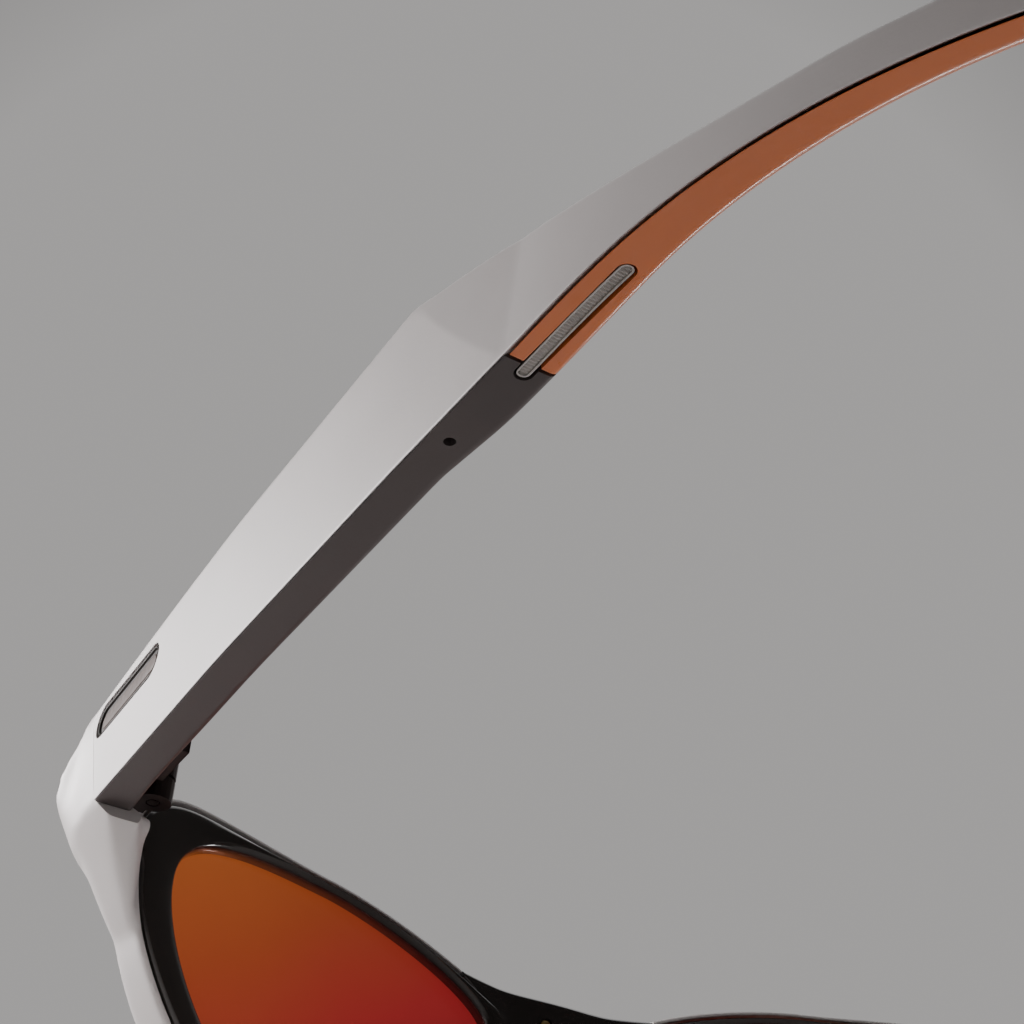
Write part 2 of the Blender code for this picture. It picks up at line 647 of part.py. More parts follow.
def make_hinge_temple(name, side, materials, group, tools):
    """Leaf on the temple's inner wall, with the middle knuckle."""
    px, py, _ = pivot_point(side)
    low, _, a, b, _, high = hinge_levels()
    face = side * (SEAM_HALF_SPAN - 0.4)
    back = face - side * LEAF_THICKNESS
    leaf = box(name, (min(face, back), 2.2, low + 0.8), (max(face, back), LEAF_OVERLAP, high - 0.8),
               materials["steel"], group)
    web = box(name + "_web", (min(face, px), py + 0.3, a), (max(face, px), 2.5, b), None, tools)
    boolean(leaf, web, "UNION")
    knuckle = cylinder(name + "_knuckle", (px, py, a), (0, 0, 1), KNUCKLE_RADIUS, b - a, None, tools)
    boolean(leaf, knuckle, "UNION")
    bore = cylinder(name + "_bore", (px, py, low - 1), (0, 0, 1), PIN_RADIUS + PIN_PLAY, HINGE_HEIGHT + 2,
                    None, tools, 16)
    boolean(leaf, bore, "DIFFERENCE")
    hole = cylinder(name + "_hole", (face + side, 5.8, (low + high) / 2), (-side, 0, 0),
                    LEAF_SCREW_RADIUS + PIN_PLAY, 4.0, None, tools, 16)
    boolean(leaf, hole, "DIFFERENCE")
    return leaf


def make_hinge_screw(name, side, materials, group, tools):
    px, py, _ = pivot_point(side)
    low, high = HINGE_BOTTOM, HINGE_BOTTOM + HINGE_HEIGHT
    screw = cylinder(name, (px, py, low), (0, 0, 1), PIN_RADIUS, HINGE_HEIGHT + GAP + 0.1, materials["steel"],
                     group, 16)
    head = cylinder(name + "_head", (px, py, high + GAP), (0, 0, 1), PIN_HEAD_RADIUS, PIN_HEAD_HEIGHT, None, tools)
    boolean(screw, head, "UNION")
    slot = box(name + "_slot", (px - 1.5, py - 0.18, high + GAP + 0.45), (px + 1.5, py + 0.18, high + 3), None, tools)
    boolean(screw, slot, "DIFFERENCE")
    return screw


def make_leaf_screw(name, side, y, materials, group):
    """A flush screw in a leaf, its end just short of the wall behind."""
    middle = HINGE_BOTTOM + HINGE_HEIGHT / 2
    face = side * (SEAM_HALF_SPAN - 0.4)
    return cylinder(name, (face, y, middle), (-side, 0, 0), LEAF_SCREW_RADIUS, LEAF_THICKNESS + 0.2,
                    materials["steel"], group, 16)


# ---- temple pieces

def make_temple_outer(name, side, materials, group, tools):
    """The pale shell: outer wall and top, from the seam to the ear tip."""
    stations = stations_between(0.0, TEMPLE_LENGTH - 3.0)
    shell = temple_loft(name, outer_section, stations, side, materials["shell"], group)
    well = stadium(name + "_badge_well", side, (BADGE_Y, BADGE_RISE), BADGE_LENGTH + 2 * GAP,
                   BADGE_HEIGHT + 2 * GAP, -1.0, BADGE_DEPTH + GAP - 0.1, "up", None, tools)
    boolean(shell, well, "DIFFERENCE")
    if side < 0:
        top = height(BUTTON_Y)
        middle = inner_top(BUTTON_Y) / 2
        half = (BUTTON_LENGTH / 2 + GAP, BUTTON_WIDTH / 2 + GAP)
        opening = pocket(name + "_button_opening", side, BUTTON_Y - half[0], BUTTON_Y + half[0],
                         middle - half[1], middle + half[1], top - 3.0, top + 2.0, None, tools, 1)
        boolean(shell, opening, "DIFFERENCE")
    return shell


def grille_middle():
    """The grille's centre: along Y, and inward from the outer face."""
    return GRILLE_START + GRILLE_LENGTH / 2, foot_width(80) / 2 + 0.15


def make_temple_inner(name, side, materials, group, tools):
    """The dark underside and inner wall over the electronics, closed by a bulkhead at the seam."""
    cover = temple_loft(name, inner_section, stations_between(0.0, CREASE_Y), side, materials["underside"], group)
    w = TEMPLE_WALL
    rings = []
    for y in (0.0, 1.2):
        h, foot = height(y), foot_width(y)
        corners = [(w + 1.4 * GAP, w - 0.3), (foot - 0.2, 0.4), (foot - 0.2, h - w - GAP), (w + GAP, h - w - GAP)]
        rings.append([temple_point(side, y, inward, up) for inward, up in corners])
    boolean(cover, loft(name + "_bulkhead", rings, None, tools), "UNION")
    hole = cylinder(name + "_mic_hole", (side * (outer_x(MIC_Y) - 1.75), MIC_Y, -1.0), (0, 0, 1),
                    MIC_HOLE_RADIUS, 3.0, None, tools, 16)
    boolean(cover, hole, "DIFFERENCE")
    boolean(cover, grille_slot(name + "_grille_slot", side, tools), "DIFFERENCE")
    return cover


def grille_slot(name, side, tools):
    return stadium(name, side, grille_middle(), GRILLE_LENGTH + 2 * GAP, GRILLE_WIDTH + 2 * GAP, -1.5, 2.5,
                   "in", None, tools)


def make_ear_section(name, side, materials, group, tools):
    """The orange underside and inner wall from the crease to the rounded tip."""
    start = CREASE_Y + GAP
    ear = temple_loft(name, inner_section, stations_between(start, TEMPLE_LENGTH - 2.7), side, materials["ear"],
                      group)
    rings = []
    end = TEMPLE_LENGTH
    for y, shrink in ((end - 2.7, 0.0), (end - 1.6, 0.15), (end - 0.6, 0.6), (end, 1.1)):
        h, wide = height(y), foot_width(y) + bulge(y)
        corners = [(shrink, shrink), (foot_width(y) - shrink * 0.3, shrink), (wide - shrink, 0.45 * h),
                   (inner_top(y) - shrink, h - shrink), (shrink, h - shrink)]
        rings.append([temple_point(side, y, inward, up) for inward, up in corners])
    boolean(ear, loft(name + "_tip", rings, None, tools), "UNION")
    boolean(ear, grille_slot(name + "_grille_slot", side, tools), "DIFFERENCE")
    return ear


def make_core(name, side, materials, group):
    """Spring-steel strip between the shell and the ear section."""
    rings = []
    steps = 14
    for k in range(steps + 1):
        y = CORE_START + (TEMPLE_LENGTH - CORE_MARGIN - CORE_START) * k / steps
        h = height(y)
        near = TEMPLE_WALL + 2 * GAP
        corners = [(near, 0.40 * h), (near + CORE_THICKNESS, 0.40 * h),
                   (near + CORE_THICKNESS, 0.62 * h), (near, 0.62 * h)]
        rings.append([temple_point(side, y, inward, up) for inward, up in corners])
    return loft(name, rings, materials["steel"], group)


def make_temple(label, side, materials, group, tools):
    """All pieces that fold with one temple."""
    wall = TEMPLE_WALL + GAP
    made = [
        make_temple_outer("temple_shell_" + label, side, materials, group, tools),
        make_temple_inner("temple_cover_" + label, side, materials, group, tools),
        make_ear_section("ear_section_" + label, side, materials, group, tools),
        make_core("core_strip_" + label, side, materials, group),
        make_hinge_temple("hinge_temple_" + label, side, materials, group, tools),
        make_leaf_screw("temple_leaf_screw_" + label, side, 5.8, materials, group),
        stadium("badge_" + label, side, (BADGE_Y, BADGE_RISE), BADGE_LENGTH, BADGE_HEIGHT, 0.0, BADGE_DEPTH,
                "up", materials["badge"], group),
        stadium("speaker_grille_" + label, side, grille_middle(), GRILLE_LENGTH, GRILLE_WIDTH, 0.1,
                0.1 + GRILLE_THICKNESS, "in", materials["mesh"], group),
    ]
    near = wall
    far = near + BOARD_THICKNESS
    made.append(pocket("circuit_board_" + label, side, BOARD_START, BOARD_END, near, far, 2.6, 12.0,
                       materials["board"], group))
    near = far + GAP
    made.append(pocket("battery_" + label, side, BATTERY_START, BATTERY_START + BATTERY_LENGTH, near,
                       near + BATTERY_THICKNESS, 5.4, 12.4, materials["cell"], group))
    made.append(pocket("microphone_" + label, side, MIC_Y - 1.2, MIC_Y + 1.2, wall, wall + 1.2,
                       TEMPLE_WALL + GAP, TEMPLE_WALL + GAP + 0.9, materials["black"], group, 1))
    middle = GRILLE_START + GRILLE_LENGTH / 2
    made.append(pocket("speaker_driver_" + label, side, middle - DRIVER_LENGTH / 2, middle + DRIVER_LENGTH / 2,
                       wall + 0.5, wall + 2.9, 2.9, 5.0, materials["black"], group))
    made.append(pocket("speaker_ribbon_" + label, side, BOARD_END + GAP, middle - DRIVER_LENGTH / 2 - GAP,
                       wall + 0.5, wall + 0.75, 3.4, 5.2, materials["gold"], group))
    return made


def make_button(side, materials, group):
    """Press button in the top of the right temple, over its dome switch."""
    middle = inner_top(BUTTON_Y) / 2
    top = height(BUTTON_Y)
    cap = pocket("function_button", side, BUTTON_Y - BUTTON_LENGTH / 2, BUTTON_Y + BUTTON_LENGTH / 2,
                 middle - BUTTON_WIDTH / 2, middle + BUTTON_WIDTH / 2, top - TEMPLE_WALL - 0.4,
                 top + BUTTON_PROUD, materials["underside"], group, 2)
    px, _, _ = temple_point(side, BUTTON_Y, middle, 0)
    dome = cylinder("button_dome", (px, BUTTON_Y, top - TEMPLE_WALL - 1.4), (0, 0, 1), 0.9, 0.4,
                    materials["steel"], group, 16)
    return cap, dome


def make_power_switch(side, materials, group):
    """Power slider on the inner wall of the left temple."""
    reach = inner_top(SWITCH_Y) + 0.4
    low = 0.52 * height(SWITCH_Y)
    return pocket("power_switch", side, SWITCH_Y - SWITCH_LENGTH / 2, SWITCH_Y + SWITCH_LENGTH / 2,
                  reach + 0.15, reach + 0.15 + SWITCH_PROUD, low, low + SWITCH_HEIGHT, materials["black"], group, 2)


# ---- assembly

def empty(name, place, group):
    made = bpy.data.objects.new(name, None)
    made.location = Vector(place) * MM
    made.empty_display_size = 0.005
    group.objects.link(made)
    return made


def hang(parent, pieces):
    """Parents pieces without moving them, with their origins on the parent."""
    shift = Matrix.Translation(-parent.location)
    for piece in pieces:
        piece.data.transform(shift)
        piece.parent = parent


def stand_up(stance, group):
    """Leans the glasses until rims and ear tips share one level, and centres their box at the origin."""
    rim = min(OUTLINE, key=lambda s: s[0][1])
    reach = LENS_SEAT + 2 * GAP + RIM_WALL + RIM_FLARE - 0.7 + RIM_SIDE_WIDTH * rim_share(rim[1])
    rim_low = rim_point(rim, reach, -FRONT_DEPTH, 1.0)
    tip_low = temple_point(1.0, TEMPLE_LENGTH - 1.6, 0.0, 0.15)
    lean = math.atan2(tip_low[2] - rim_low[2], tip_low[1] - rim_low[1])
    stance.rotation_euler = (-lean, 0, 0)
    bpy.context.view_layer.update()
    graph = bpy.context.evaluated_depsgraph_get()
    lows, highs = Vector((1e9,) * 3), Vector((-1e9,) * 3)
    for piece in group.objects:
        if piece.type != "MESH":
            continue
        seen = piece.evaluated_get(graph)
        mesh = seen.to_mesh()
        for vertex in mesh.vertices:
            p = seen.matrix_world @ vertex.co
            lows = Vector(map(min, lows, p))
            highs = Vector(map(max, highs, p))
        seen.to_mesh_clear()
    middle = (lows + highs) / 2
    stance.location = -Vector((middle.x, middle.y, lows.z))


def main():
    clear_scene()
    group = new_collection("sport_sunglasses")
    tools = new_collection("cutters")
    materials = make_materials()
    stance = empty("stance", (0, 0, 0), group)
    fixed = [make_front(materials, group, tools), make_rear_cover(materials, group, tools)]
    make_contacts(materials, group)
    fixed += [piece for piece in group.objects if piece.name.startswith("charge_contact")]
    for label, side in SIDES.items():
        fixed.append(make_lens("lens_" + label, side, materials, group))
        fixed.append(make_nose_pad("nose_pad_" + label, side, materials, group))
        fixed.append(make_hinge_frame("hinge_frame_" + label, side, materials, group, tools))
        fixed.append(make_hinge_screw("hinge_screw_" + label, side, materials, group, tools))
        fixed.append(make_leaf_screw("frame_leaf_screw_" + label, side, -5.6, materials, group))
        pivot = empty("pivot_" + label, pivot_point(side), group)
        pieces = make_temple(label, side, materials, group, tools)
        if side < 0:
            pieces += make_button(side, materials, group)
        else:
            pieces.append(make_power_switch(side, materials, group))
        cut = [step.object for piece in pieces for step in piece.modifiers]
        hang(pivot, pieces + cut)
        pivot.parent = stance
    hang(stance, fixed + [step.object for piece in fixed for step in piece.modifiers])
    stand_up(stance, group)
    bpy.context.view_layer.update()


main()
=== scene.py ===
import json
import math
import bmesh
import bpy
import numpy as np
from mathutils import Matrix, Vector


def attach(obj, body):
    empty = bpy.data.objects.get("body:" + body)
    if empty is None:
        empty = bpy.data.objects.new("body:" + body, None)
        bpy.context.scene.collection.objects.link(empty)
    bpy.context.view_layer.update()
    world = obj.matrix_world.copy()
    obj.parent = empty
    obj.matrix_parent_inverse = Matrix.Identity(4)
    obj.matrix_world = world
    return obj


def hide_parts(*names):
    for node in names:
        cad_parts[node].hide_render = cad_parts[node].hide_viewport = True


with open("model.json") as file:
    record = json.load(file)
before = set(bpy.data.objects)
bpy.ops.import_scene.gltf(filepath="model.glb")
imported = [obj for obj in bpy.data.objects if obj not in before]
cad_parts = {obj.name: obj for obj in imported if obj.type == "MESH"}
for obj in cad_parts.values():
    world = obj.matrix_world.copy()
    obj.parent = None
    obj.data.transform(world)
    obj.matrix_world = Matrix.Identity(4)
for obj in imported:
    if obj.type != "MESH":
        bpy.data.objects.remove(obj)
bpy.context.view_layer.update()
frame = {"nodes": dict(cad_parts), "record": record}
record = frame["record"]
sides = {"left": 1.0, "right": -1.0}
print("frame loaded:", len(frame["nodes"]), "nodes")

# ---- places: sizes are in millimetres in the wearer's frame, x to the wearer's left, y to the ears,
# z up, temple seams at y = 0; toWorld leans them as the record's hinge axis leans
foldJoint = [joint for joint in record["behaviour"]["joints"] if joint["name"] == "left_temple_fold"][0]
leanSin, leanCos = foldJoint["axis"][1], foldJoint["axis"][2]
pivot = {"x": 64.8, "y": -1.2}
shiftY = foldJoint["pos_m"][1] * 1000 - leanCos * pivot["y"]
shiftZ = foldJoint["pos_m"][2] * 1000 + leanSin * pivot["y"]


def turned(points):
    x, y, z = np.moveaxis(np.asarray(points, float), -1, 0)
    return np.stack([x, leanCos * y + leanSin * z, leanCos * z - leanSin * y], -1)


def toWorld(points):
    return (turned(points) + [0.0, shiftY, shiftZ]) * 0.001


def toWearer(points):
    x, y, z = np.moveaxis(np.asarray(points, float) * 1000 - [0.0, shiftY, shiftZ], -1, 0)
    return np.stack([x, leanCos * y - leanSin * z, leanCos * z + leanSin * y], -1)


# ---- shader maths
class Wire:
    # a shader socket that adds, subtracts and multiplies like a number
    def __init__(self, tree, socket=None):
        self.tree = tree
        self.socket = socket

    def node(self, kind, inputs=None, output=0, stops=None, **settings):
        made = self.tree.nodes.new(kind)
        for key, value in settings.items():
            setattr(made, key, value)
        if stops:
            ramp = made.color_ramp
            for place, colour in stops[2:]:
                ramp.elements.new(place)
            for element, (place, colour) in zip(ramp.elements, sorted(stops)):
                element.position = place
                element.color = (*colour, 1.0)
        for key, value in (inputs or {}).items():
            if isinstance(value, Wire):
                self.tree.links.new(value.socket, made.inputs[key])
            else:
                made.inputs[key].default_value = value
        return Wire(self.tree, made.outputs[output])

    def maths(self, operation, first, second=0.0):
        return self.node("ShaderNodeMath", {0: first, 1: second}, operation=operation)

    def __add__(self, other):
        return self.maths("ADD", self, other)

    def __sub__(self, other):
        return self.maths("SUBTRACT", self, other)

    def __rsub__(self, other):
        return self.maths("SUBTRACT", other, self)

    def __mul__(self, other):
        return self.maths("MULTIPLY", self, other)

    __radd__ = __add__
    __rmul__ = __mul__

    def noise(self, where, scale, detail=3.0, rough=0.5):
        return self.node("ShaderNodeTexNoise", {"Vector": where, "Scale": scale, "Detail": detail,
                                                "Roughness": rough}, "Fac")

    def span(self, low, high, first=0.0, last=1.0):
        # straight rise from first to last while the value goes from low to high
        return self.node("ShaderNodeMapRange", {"Value": self, "From Min": low, "From Max": high,
                                                "To Min": first, "To Max": last})

    def blend(self, first, last):
        # colour mixed by this value
        return self.node("ShaderNodeMix", {0: self, 6: (*first, 1.0), 7: (*last, 1.0)}, 2, data_type="RGBA")


def finishOf(name, build, **constants):
    # a Principled material: build returns the sockets that change over the surface
    made = bpy.data.materials.new(name)
    made.use_nodes = True
    tree = made.node_tree
    tree.nodes.clear()
    wire = Wire(tree)
    place = wire.node("ShaderNodeTexCoord", output="Object")
    shader = wire.node("ShaderNodeBsdfPrincipled", {**constants, **build(wire, place)})
    end = tree.nodes.new("ShaderNodeOutputMaterial")
    tree.links.new(shader.socket, end.inputs["Surface"])
    return made


def moulded(tones, patch, grain, depth, rough):
    # two close tones in soft patches, a fine grain in the bump and a roughness that drifts with it
    def build(wire, place):
        patches = wire.noise(place, patch, 2.0)
        fine = wire.noise(place, grain, 2.0, 0.6)
        height = fine + 0.6 * wire.noise(place, grain * 0.31, 1.0)
        bump = wire.node("ShaderNodeBump", {"Strength": 0.6, "Distance": depth * 0.001, "Height": height},
                         0)
        return {"Base Color": patches.span(0.3, 0.7).blend(*tones),
                "Roughness": (0.6 * patches + 0.4 * fine).span(0.25, 0.75, *rough), "Normal": bump}
    return build


def brushed(tones, along, rough, depth=0.004):
    # fine scratches drawn out along one axis
    def build(wire, place):
        stretch = [30.0 if k == along else 1400.0 for k in range(3)]
        lines = wire.noise(wire.node("ShaderNodeMapping", {"Vector": place, "Scale": stretch}), 1.0, 2.0)
        patches = wire.noise(place, 300.0, 2.0)
        bump = wire.node("ShaderNodeBump", {"Strength": 0.5, "Distance": depth * 0.001, "Height": lines}, 0)
        return {"Base Color": (0.5 * lines + 0.5 * patches).span(0.3, 0.7).blend(*tones),
                "Roughness": lines.span(0.3, 0.7, *rough), "Normal": bump}
    return build


def mirrorCoatWithPaintedGlow(look):
    # the coating's colour slides from orange at the upper outer corner to red low towards the nose
    def build(wire, place):
        split = wire.node("ShaderNodeSeparateXYZ", {0: place})
        across = wire.maths("ABSOLUTE", Wire(wire.tree, split.socket.node.outputs[0]))
        up = Wire(wire.tree, split.socket.node.outputs[2])
        fromSide = (look["outer"] * 0.001 - across) * look["acrossGain"]
        fromTop = (look["top"] * 0.001 - up) * look["upGain"]
        slide = fromSide + fromTop
        drift = wire.noise(place, 26.0, 2.0).span(0.3, 0.7, -0.05, 0.05)
        colour = wire.node("ShaderNodeValToRGB", {0: slide + drift}, 0, stops=look["stops"])
        haze = wire.noise(place, 500.0, 3.0)
        # the coating's colour also feeds Emission Color: a painted glow that brightens the lens though it is
        # no lamp
        return {"Base Color": colour, "Emission Color": colour,
                "Roughness": haze.span(0.3, 0.7, 0.16, 0.24)}
    return build


mirrorLook = {"outer": 60.0, "top": 36.0, "acrossGain": 13.0, "upGain": 17.0,
              "stops": [(0.0, (0.60, 0.16, 0.035)), (1.0, (0.36, 0.012, 0.03)), (0.35, (0.50, 0.09, 0.03)),
                        (0.65, (0.50, 0.035, 0.035))]}


def badgeTone(wire, place):
    # darker bronze round the edge and a lighter core, by the ring's share in the UV map
    share = wire.node("ShaderNodeSeparateXYZ", {0: wire.node("ShaderNodeUVMap")}, 1)
    lines = wire.noise(place, 900.0, 3.0)
    mask = share.span(0.50, 0.60)
    base = (0.85 * mask + 0.15 * lines).blend((0.060, 0.034, 0.026), (0.010, 0.008, 0.007))
    bump = wire.node("ShaderNodeBump", {"Strength": 0.4, "Distance": 0.00001, "Height": lines}, 0)
    return {"Base Color": base, "Roughness": lines.span(0.3, 0.7, 0.42, 0.55), "Normal": bump}


def boardTone(wire, place):
    # solder mask with lighter copper tracks under it
    tracks = wire.node("ShaderNodeTexBrick", {"Vector": place, "Scale": 260.0, "Mortar Size": 0.03}, "Fac")
    patches = wire.noise(place, 700.0, 2.0)
    return {"Base Color": (tracks * 0.8 + 0.2 * patches).blend((0.008, 0.07, 0.04), (0.05, 0.22, 0.11)),
            "Roughness": patches.span(0.3, 0.7, 0.35, 0.5)}


finishes = {
    "shell": finishOf("warmGreyShell",
                      moulded(((0.67, 0.635, 0.63), (0.71, 0.675, 0.67)), 60.0, 5200.0, 0.012,
                              (0.36, 0.46)),
                      **{"Coat Weight": 0.06, "Coat Roughness": 0.3}),
    # near-black tones: painted shade where the underside lies in shadow; the function button shares this
    # finish
    "underside": finishOf("darkPlasticAndPaintedShade",
                          moulded(((0.062, 0.049, 0.049), (0.076, 0.061, 0.060)), 90.0, 4300.0,
                                  0.014, (0.40, 0.52))),
    "cover": finishOf("glossCover",
                      moulded(((0.020, 0.0165, 0.015), (0.028, 0.022, 0.019)), 50.0, 900.0, 0.002,
                              (0.14, 0.22)), **{"Coat Weight": 0.8, "Coat Roughness": 0.06}),
    "ear": finishOf("orangeEar", moulded(((0.74, 0.185, 0.046), (0.80, 0.215, 0.060)), 70.0, 3600.0, 0.006,
                                         (0.26, 0.36)), **{"Coat Weight": 0.5, "Coat Roughness": 0.12}),
    # Emission Strength sets how bright the lens's painted glow is
    "mirror_lens": finishOf("sunsetMirrorPaintedGlow", mirrorCoatWithPaintedGlow(mirrorLook), Metallic=0.35,
                            **{"Emission Strength": 0.42, "Coat Weight": 0.7, "Coat Roughness": 0.04}),
    "steel": finishOf("darkSteel", brushed(((0.06, 0.045, 0.045), (0.11, 0.085, 0.08)), 2, (0.28, 0.42)),
                      Metallic=0.9),
    "speaker_mesh": finishOf("speakerMesh",
                             brushed(((0.42, 0.40, 0.38), (0.56, 0.54, 0.52)), 1, (0.25, 0.4)),
                             Metallic=0.85),
    "badge": finishOf("bronzeBadge", badgeTone, Metallic=0.0, **{"Specular IOR Level": 0.08}),
    "nose_rubber": finishOf("noseRubber",
                            moulded(((0.020, 0.019, 0.019), (0.030, 0.028, 0.028)), 120.0, 3000.0,
                                    0.02, (0.62, 0.8))),
    "battery_foil": finishOf("batteryFoil",
                             brushed(((0.50, 0.50, 0.51), (0.64, 0.64, 0.65)), 1, (0.3, 0.5)),
                             Metallic=0.85),
    "board": finishOf("boardGreen", boardTone),
    "black_plastic": finishOf("blackPlastic", moulded(((0.014, 0.013, 0.013), (0.022, 0.020, 0.019)), 150.0,
                                                      4000.0, 0.012, (0.42, 0.55))),
    "contact_gold": finishOf("contactGold",
                             brushed(((0.70, 0.48, 0.20), (0.80, 0.58, 0.28)), 0, (0.18, 0.32)),
                             Metallic=1.0),
}
print("finishes made:", len(finishes))


# ---- surface makers
sharpAngle = 32     # degrees: a crease that bends more than this stays an edge


def parabola(starts, corners, ends, steps):
    # from each start to its end, leaving and arriving along the corner's two sides
    t = np.linspace(0, 1, steps)[None, None, :, None]
    first, middle, last = starts[:, :, None], corners[:, :, None], ends[:, :, None]
    return (1 - t) ** 2 * first + 2 * t * (1 - t) * middle + t * t * last


def filleted(corners, radii, steps=5):
    # each corner of a closed outline becomes a parabola that touches both of its sides at the corner's
    # radius, with one more point a little further along each side to keep the flats flat
    before = np.roll(corners, 1, axis=1) - corners
    after = np.roll(corners, -1, axis=1) - corners
    lengths = [np.linalg.norm(way, axis=-1, keepdims=True) + 1e-9 for way in (before, after)]
    cut = np.minimum(np.asarray(radii, float)[None, :, None], 0.42 * np.minimum(*lengths))
    starts, ends = corners + before / lengths[0] * cut, corners + after / lengths[1] * cut
    curve = parabola(starts, corners, ends, steps)
    early = starts[:, :, None] + (before / lengths[0])[:, :, None] * 0.17 * cut[:, :, None]
    late = ends[:, :, None] + (after / lengths[1])[:, :, None] * 0.17 * cut[:, :, None]
    return np.concatenate([early, curve, late], 2).reshape(len(corners), -1, 2)


def gridPiece(name, points, finish, loop=False, rowValues=None):
    # a skin over a grid of points: columns always run round, rows run round too on a loop and are
    # closed by end faces otherwise; a skin with a negative volume is turned round
    rows, columns = points.shape[:2]
    index = np.arange(rows * columns).reshape(rows, columns)
    nextRow = np.roll(index, -1, 0) if loop else index[1:]
    thisRow = index if loop else index[:-1]
    quads = np.stack([thisRow, np.roll(thisRow, -1, 1), np.roll(nextRow, -1, 1), nextRow], -1).reshape(-1, 4)
    flat = toWorld(points.reshape(-1, 3))
    caps = [] if loop else [index[0][::-1], index[-1]]
    a, b, c, d = (flat[quads[:, k]] for k in range(4))
    volume = (np.einsum("ij,ij->i", a, np.cross(b, c)) + np.einsum("ij,ij->i", a, np.cross(c, d))).sum()
    for cap in caps:
        ring = flat[cap]
        fan = np.cross(ring[1:-1], ring[2:])
        volume += (fan @ ring[0]).sum()
    if volume < 0:
        quads, caps = quads[:, ::-1], [cap[::-1] for cap in caps]
    mesh = bpy.data.meshes.new(name)
    mesh.from_pydata(flat, [], quads.tolist() + [cap.tolist() for cap in caps])
    if rowValues is not None:
        layer = mesh.uv_layers.new(name="UVMap")
        corners = np.empty(len(mesh.loops), np.int32)
        mesh.loops.foreach_get("vertex_index", corners)
        uv = np.stack([(corners % columns) / columns, np.asarray(rowValues)[corners // columns]], -1)
        layer.uv.foreach_set("vector", uv.astype(np.float32).ravel())
    made = bpy.data.objects.new(name, mesh)
    bpy.context.scene.collection.objects.link(made)
    if finish:
        mesh.materials.append(finishes[finish])
    mesh.shade_smooth()
    mesh.set_sharp_from_angle(angle=math.radians(sharpAngle))
    return made


def kept(piece):
    # the modified mesh becomes the piece's own
    bpy.context.view_layer.update()
    graph = bpy.context.evaluated_depsgraph_get()
    mesh = bpy.data.meshes.new_from_object(piece.evaluated_get(graph))
    piece.modifiers.clear()
    old, piece.data = piece.data, mesh
    bpy.data.meshes.remove(old)
    return mesh


def combined(piece, tool, operation):
    # joins or cuts a piece with another
    step = piece.modifiers.new("combine", "BOOLEAN")
    step.operation = operation
    step.object = tool
    step.solver = "MANIFOLD"
    mesh = kept(piece)
    bpy.data.objects.remove(tool)
    mesh.shade_smooth()
    mesh.set_sharp_from_angle(angle=math.radians(sharpAngle))


skin = {"voxel": 0.3, "rounds": 30, "pull": 0.6}


def softened(piece, share):
    # an even skin of small faces, where each point then moves towards its neighbours' mean, by a share
    # that depends on its place; it fills hollows between joined shapes like a moulded fillet
    step = piece.modifiers.new("even", "REMESH")
    step.mode = "VOXEL"
    step.voxel_size = skin["voxel"] * 0.001
    mesh = kept(piece)
    count = len(mesh.vertices)
    places = np.empty(count * 3)
    mesh.vertices.foreach_get("co", places)
    places = places.reshape(-1, 3)
    ends = np.empty(len(mesh.edges) * 2, np.int32)
    mesh.edges.foreach_get("vertices", ends)
    here, there = np.concatenate([ends.reshape(-1, 2), ends.reshape(-1, 2)[:, ::-1]]).T
    near = np.bincount(here, minlength=count)[:, None]
    part = share(toWearer(places))[:, None]
    for _ in range(skin["rounds"]):
        total = np.stack([np.bincount(here, places[there, k], count) for k in range(3)], 1)
        places += part * skin["pull"] * (total / near - places)
    mesh.vertices.foreach_set("co", places.ravel())


def settle(piece, body, slot, *nodes):
    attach(piece, body)
    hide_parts(*nodes)


def pill(name, length, width, place, shares, levels, finish, centre=(0.0, 0.0), arc=24, rowValues=None):
    # a slot outline shrunk onto its spine ring by ring, each ring at its own level; place turns
    # (along, across, level) into the wearer's frame
    turn = np.concatenate([np.linspace(-0.5, 0.5, arc), np.linspace(0.5, 1.5, arc)]) * math.pi
    end = np.repeat([1.0, -1.0], arc) * (length - width) / 2
    half = width / 2
    shares = np.asarray(shares, float)[:, None]
    along = centre[0] + end + half * np.cos(turn) * shares
    across = centre[1] + half * np.sin(turn) * shares
    level = np.broadcast_to(np.asarray(levels, float)[:, None], along.shape)
    return gridPiece(name, np.stack(place(along, across, level), -1), finish, rowValues=rowValues)


# ---- the front's surface and the lens edge
front = {"bridgeY": -26.0, "gain": 0.0239, "power": 1.6, "ease": 4.0, "panto": 0.10, "browZ": 8.8,
         "outerX": 58.5, "nasalX": 10.5, "widestZ": -2.0, "top": (36.0, 7.3), "bottom": (31.0, -26.5),
         "powers": (2.8, 1.65, 1.85, 1.7), "sideWidth": 3.6, "topFade": 0.95, "lowFade": 0.55,
         "corner": 1.6}


def wrap(x, z):
    # rear face of the front: the sideways distance to the power 1.6, and a lean in towards the cheeks
    ease = front["ease"] ** 2
    across = (x * x + ease) ** (front["power"] / 2) - ease ** (front["power"] / 2)
    return front["bridgeY"] + front["gain"] * across + front["panto"] * (front["browZ"] - z)


